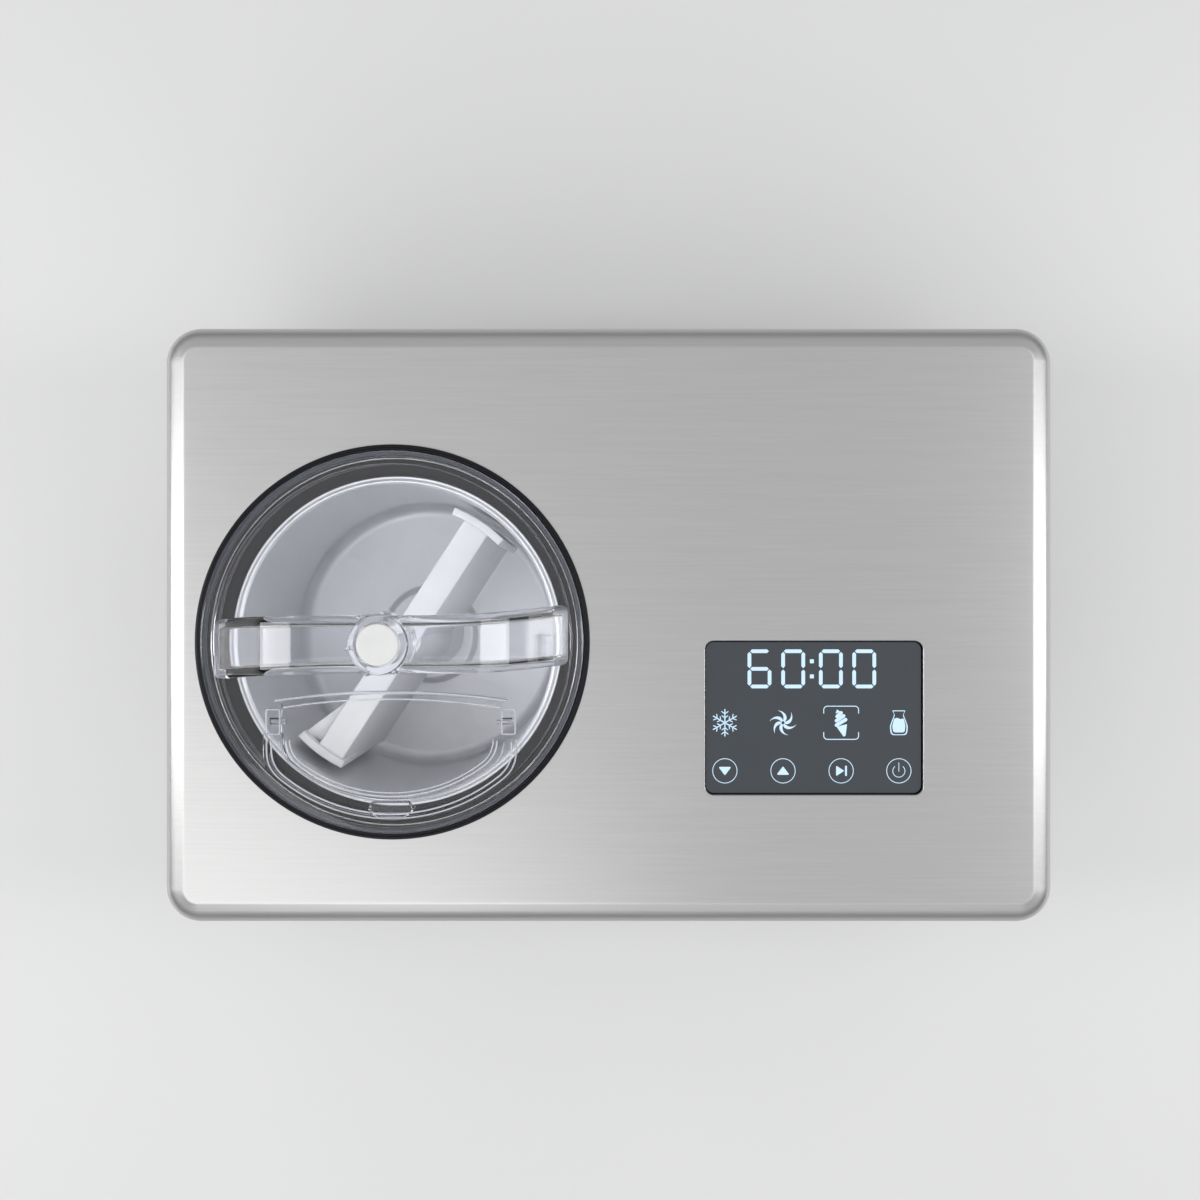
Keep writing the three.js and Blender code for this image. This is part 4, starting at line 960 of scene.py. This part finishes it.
def lid_handle():
    """An arched channel with a rail down each side, and a ribbed round socket in its middle."""
    span, depth, skin, rail = 83.5, 7, 3, 4
    rings = []
    for point, heading in handle_line():
        down = Vector((heading.y, 0, -heading.x))
        share = point.x / span
        half = (26 + 2.5 * share ** 2) / 2
        drift = 3.4 * share ** 3
        section = filleted([(-half, 0, 3), (half, 0, 3), (half, depth, 1.8), (half - rail, depth, 1.8),
                            (half - rail, skin, 1.5), (rail - half, skin, 1.5), (rail - half, depth, 1.8),
                            (-half, depth, 1.8)], steps=5)
        rings.append([AT_BOWL @ (Vector((point.x, drift + p.x, point.y)) + down * p.y) for p in section])
    channel = lofted("channel", rings)
    flange, tube = 14.5, 13.5
    bottom, step, top = 236, 238, 261.4
    profile = [(0, bottom), (flange, bottom, 0.4), (flange, step - 0.4, 0.5), (tube, step, 0.3),
               (tube, top, 0.8), (0, top)]
    socket = revolved("socket", filleted(profile, closed=False), sides=72)
    ribs = []
    for angle in (22, 82, 118, 187, 248, 300):
        outline = rectangle(2.2, 1.8, 0.5, 13.9, 0, 2)
        turn = AT_BOWL @ Matrix.Rotation(math.radians(angle), 4, "Z")
        ribs.append(plate("rib", outline, step, 259.5, bevel=0.3, place=turn))
    handle = combined(channel, [socket, *ribs], "UNION")
    below = about_bowl("below", rectangle(240, 80), 180, LID_TOP + 0.3)
    bore = revolved("bore", [(0, 200), (10.2, 200), (10.2, 280), (0, 280)], sides=72)
    handle = combined(handle, [below, bore], "DIFFERENCE")
    stand_for(softened(handle, 0.3, 2), "lid_handle")


def hub_cap():
    cap, stem, top, under, foot = 9.5, 8, 262, 259, 242
    profile = [(0, top), (cap, top, 0.9), (cap, under, 0.3), (stem, under, 0.3), (stem, foot, 0.8), (0, foot)]
    stand_for(revolved("cap", filleted(profile, closed=False, steps=6), sides=72), "hub_cap")


# ---------------------------------------------------------------- display

def display_glass():
    outline = rectangle(SCREEN_SIZE.x, SCREEN_SIZE.y, 4, SCREEN.x, SCREEN.y)
    stand_for(plate("glass", outline, low("display_glass").z, SCREEN_TOP, bevel=0.5), "display_glass")


class Marks:
    """Thin printed shapes on the window, drawn in millimetres about a centre on it."""

    def __init__(self):
        self.pieces = []

    def fill(self, outline, at, holes=(), turn=0.0):
        spot = Matrix.Translation((SCREEN.x + at[0], SCREEN.y + at[1], 0))
        place = spot @ Matrix.Rotation(math.radians(turn), 4, "Z")
        bottom, top, bevel = SCREEN_TOP - 0.02, SCREEN_TOP + 0.03, 0.008
        self.pieces.append(plate("mark", outline, bottom, top, holes, bevel, place))

    def stroke(self, a, b, width, at, turn=0.0):
        self.fill(capsule(a, b, width), at, turn=turn)

    def curve(self, points, width, at):
        self.fill(ribbon(points, width), at)

    def ring(self, radius, width, at):
        self.fill(circle(radius + width / 2, sides=64), at, [circle(radius - width / 2, sides=64)])


DIGIT = (9.6, 16.8)  # between the middles of a digit's strokes
SEGMENTS = {
    "a": ((-1, 1), (1, 1)), "b": ((1, 1), (1, 0)), "c": ((1, 0), (1, -1)), "d": ((-1, -1), (1, -1)),
    "e": ((-1, 0), (-1, -1)), "f": ((-1, 1), (-1, 0)), "g": ((-1, 0), (1, 0)),
}


def digit(marks, lit, at):
    """A seven-segment figure, each segment a bar with pointed ends and a gap to the next."""
    half_width, gap, point = 0.88, 0.35, 0.9
    for name in lit:
        a, b = (Vector((x * DIGIT[0] / 2, y * DIGIT[1] / 2)) for x, y in SEGMENTS[name])
        along = (b - a).normalized()
        side = Vector((-along.y, along.x)) * half_width
        a, b = a + along * gap, b - along * gap
        c, d = a + along * point, b - along * point
        marks.fill([a, c - side, d - side, b, d + side, c + side], at)


def display_marks():
    marks = Marks()
    row = 23.2
    for lit, x in (("acdefg", -25.7), ("abcdef", -9.65), ("abcdef", 8.3), ("abcdef", 24.2)):
        digit(marks, lit, (x, row))
    for y in (3.6, -3.6):
        marks.fill(rectangle(1.9, 1.9, 0.2, steps=2), (-0.75, row + y))
    columns, icons, keys = (-42.2, -14.5, 13.2, 40.7), -2.5, -25.4
    for draw, x in zip((snowflake, fan, cone, jar), columns):
        draw(marks, (x, icons))
    down, up, play, power = [(x, keys) for x in columns]
    for key in (down, up, play, power):
        marks.ring(5.8, 0.34, key)
    marks.fill(filleted([(0, -2.2), (3.1, 1.9), (-3.1, 1.9)], 0.35, 3), down)
    marks.fill(filleted([(0, 2.2), (-3.1, -1.9), (3.1, -1.9)], 0.35, 3), up)
    marks.fill(filleted([(-2.4, -2.5), (1.5, 0), (-2.4, 2.5)], 0.25, 3), play)
    marks.fill(rectangle(0.9, 4.8, 0.15, 2.3, 0, 2), play)
    marks.curve(arc(2.9, 130, 410, 30), 0.32, (power[0], power[1] - 0.1))
    marks.stroke((0, -0.2), (0, 3.9), 0.32, power)
    symbols = joined("display_symbols", marks.pieces)
    symbols.data.materials.append(SYMBOL_GLOW)
    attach(symbols, "housing")


def snowflake(marks, at):
    for turn in range(0, 360, 60):
        marks.stroke((0, 0), (0, 6.3), 0.55, at, turn)
        for height, length in ((2.3, 1.7), (4.2, 1.9)):
            for side in (-1, 1):
                marks.stroke((0, height), (side * length * 0.8, height + length * 0.62), 0.45, at, turn)


def fan(marks, at):
    """A wheel of curved blades about a small hub."""
    blades, steps = 6, 12
    marks.ring(1.05, 0.5, at)
    for blade in range(blades):
        sides = ([], [])
        for i in range(steps + 1):
            t = i / steps
            heading = math.radians(360 * blade / blades + 52 * t ** 1.4)
            half_width = 0.08 + 0.72 * math.sin(math.pi * (0.25 + 0.75 * t))
            along = Vector((math.cos(heading), math.sin(heading)))
            across = Vector((-along.y, along.x)) * half_width
            for side, offset in zip(sides, (-across, across)):
                side.append(along * (1.3 + 5.0 * t) + offset)
        marks.fill(sides[0] + list(reversed(sides[1])), at)


def cone(marks, at):
    """A leaning wafer cone with a swirl on it, between two open brackets."""
    lean = 14
    wafer = filleted([(-0.5, -6.6), (0.5, -6.6, 0.4), (2.6, -1.3, 0.3), (-2.6, -1.3, 0.3)], steps=3)
    marks.fill(wafer, at, turn=lean)
    for y, half, rise in ((0.2, 3.2, 0.75), (2.2, 2.7, 0.7), (4.0, 1.9, 0.6)):
        marks.stroke((-half + 0.8, y - rise), (half - 0.8, y + rise), 1.7, at, lean)
    marks.fill([Vector((-1.5, 4.9)), Vector((0.9, 5.2)), Vector((-0.4, 6.7))], at, turn=lean)
    for side in (-1, 1):
        corner = [(-8.3, side * 4.4), (-8.3, side * 7.9, 3.4), (8.3, side * 7.9, 3.4), (8.3, side * 4.4)]
        marks.curve(filleted(corner, steps=8, closed=False), 0.42, at)


def jar(marks, at):
    half = [(3.2, 5.9, 0.3), (2.2, 3.9, 1.4), (4.3, -1.6, 4.0), (3.9, -5.9, 1.8)]
    outline = filleted([(-p[0], *p[1:]) for p in half] + list(reversed(half)), steps=6)
    inside = [Vector((p.x * 0.86, p.y * 0.93)) for p in outline]
    marks.fill(outline, at, [inside])
    level = [(-2.3, 1.9, 0.4), (-0.8, 2.4, 1), (0.8, 1.7, 1), (2.3, 2.1, 0.4), (3.1, -1.4, 2.0),
             (2.8, -4.6, 1.2), (-2.8, -4.6, 1.2), (-3.1, -1.4, 2.0)]
    marks.fill(list(reversed(filleted(level, steps=4))), at)


housing()
collar_ring()
evaporator_well()
mixing_bowl()
paddle()
lid_disc()
lid_seal()
lid_handle()
hub_cap()
fill_flap()
lid_edges()
flap_edges()
display_glass()
display_marks()
studio()
for node, thing in frame["nodes"].items():
    thing.data.materials.clear()
    thing.data.materials.append(FINISHES[SLOT_OF[node]])
boxes = {"cad": CAD_BOX, "visual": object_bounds()}
{name: [list(corner) for corner in box] for name, box in boxes.items()}
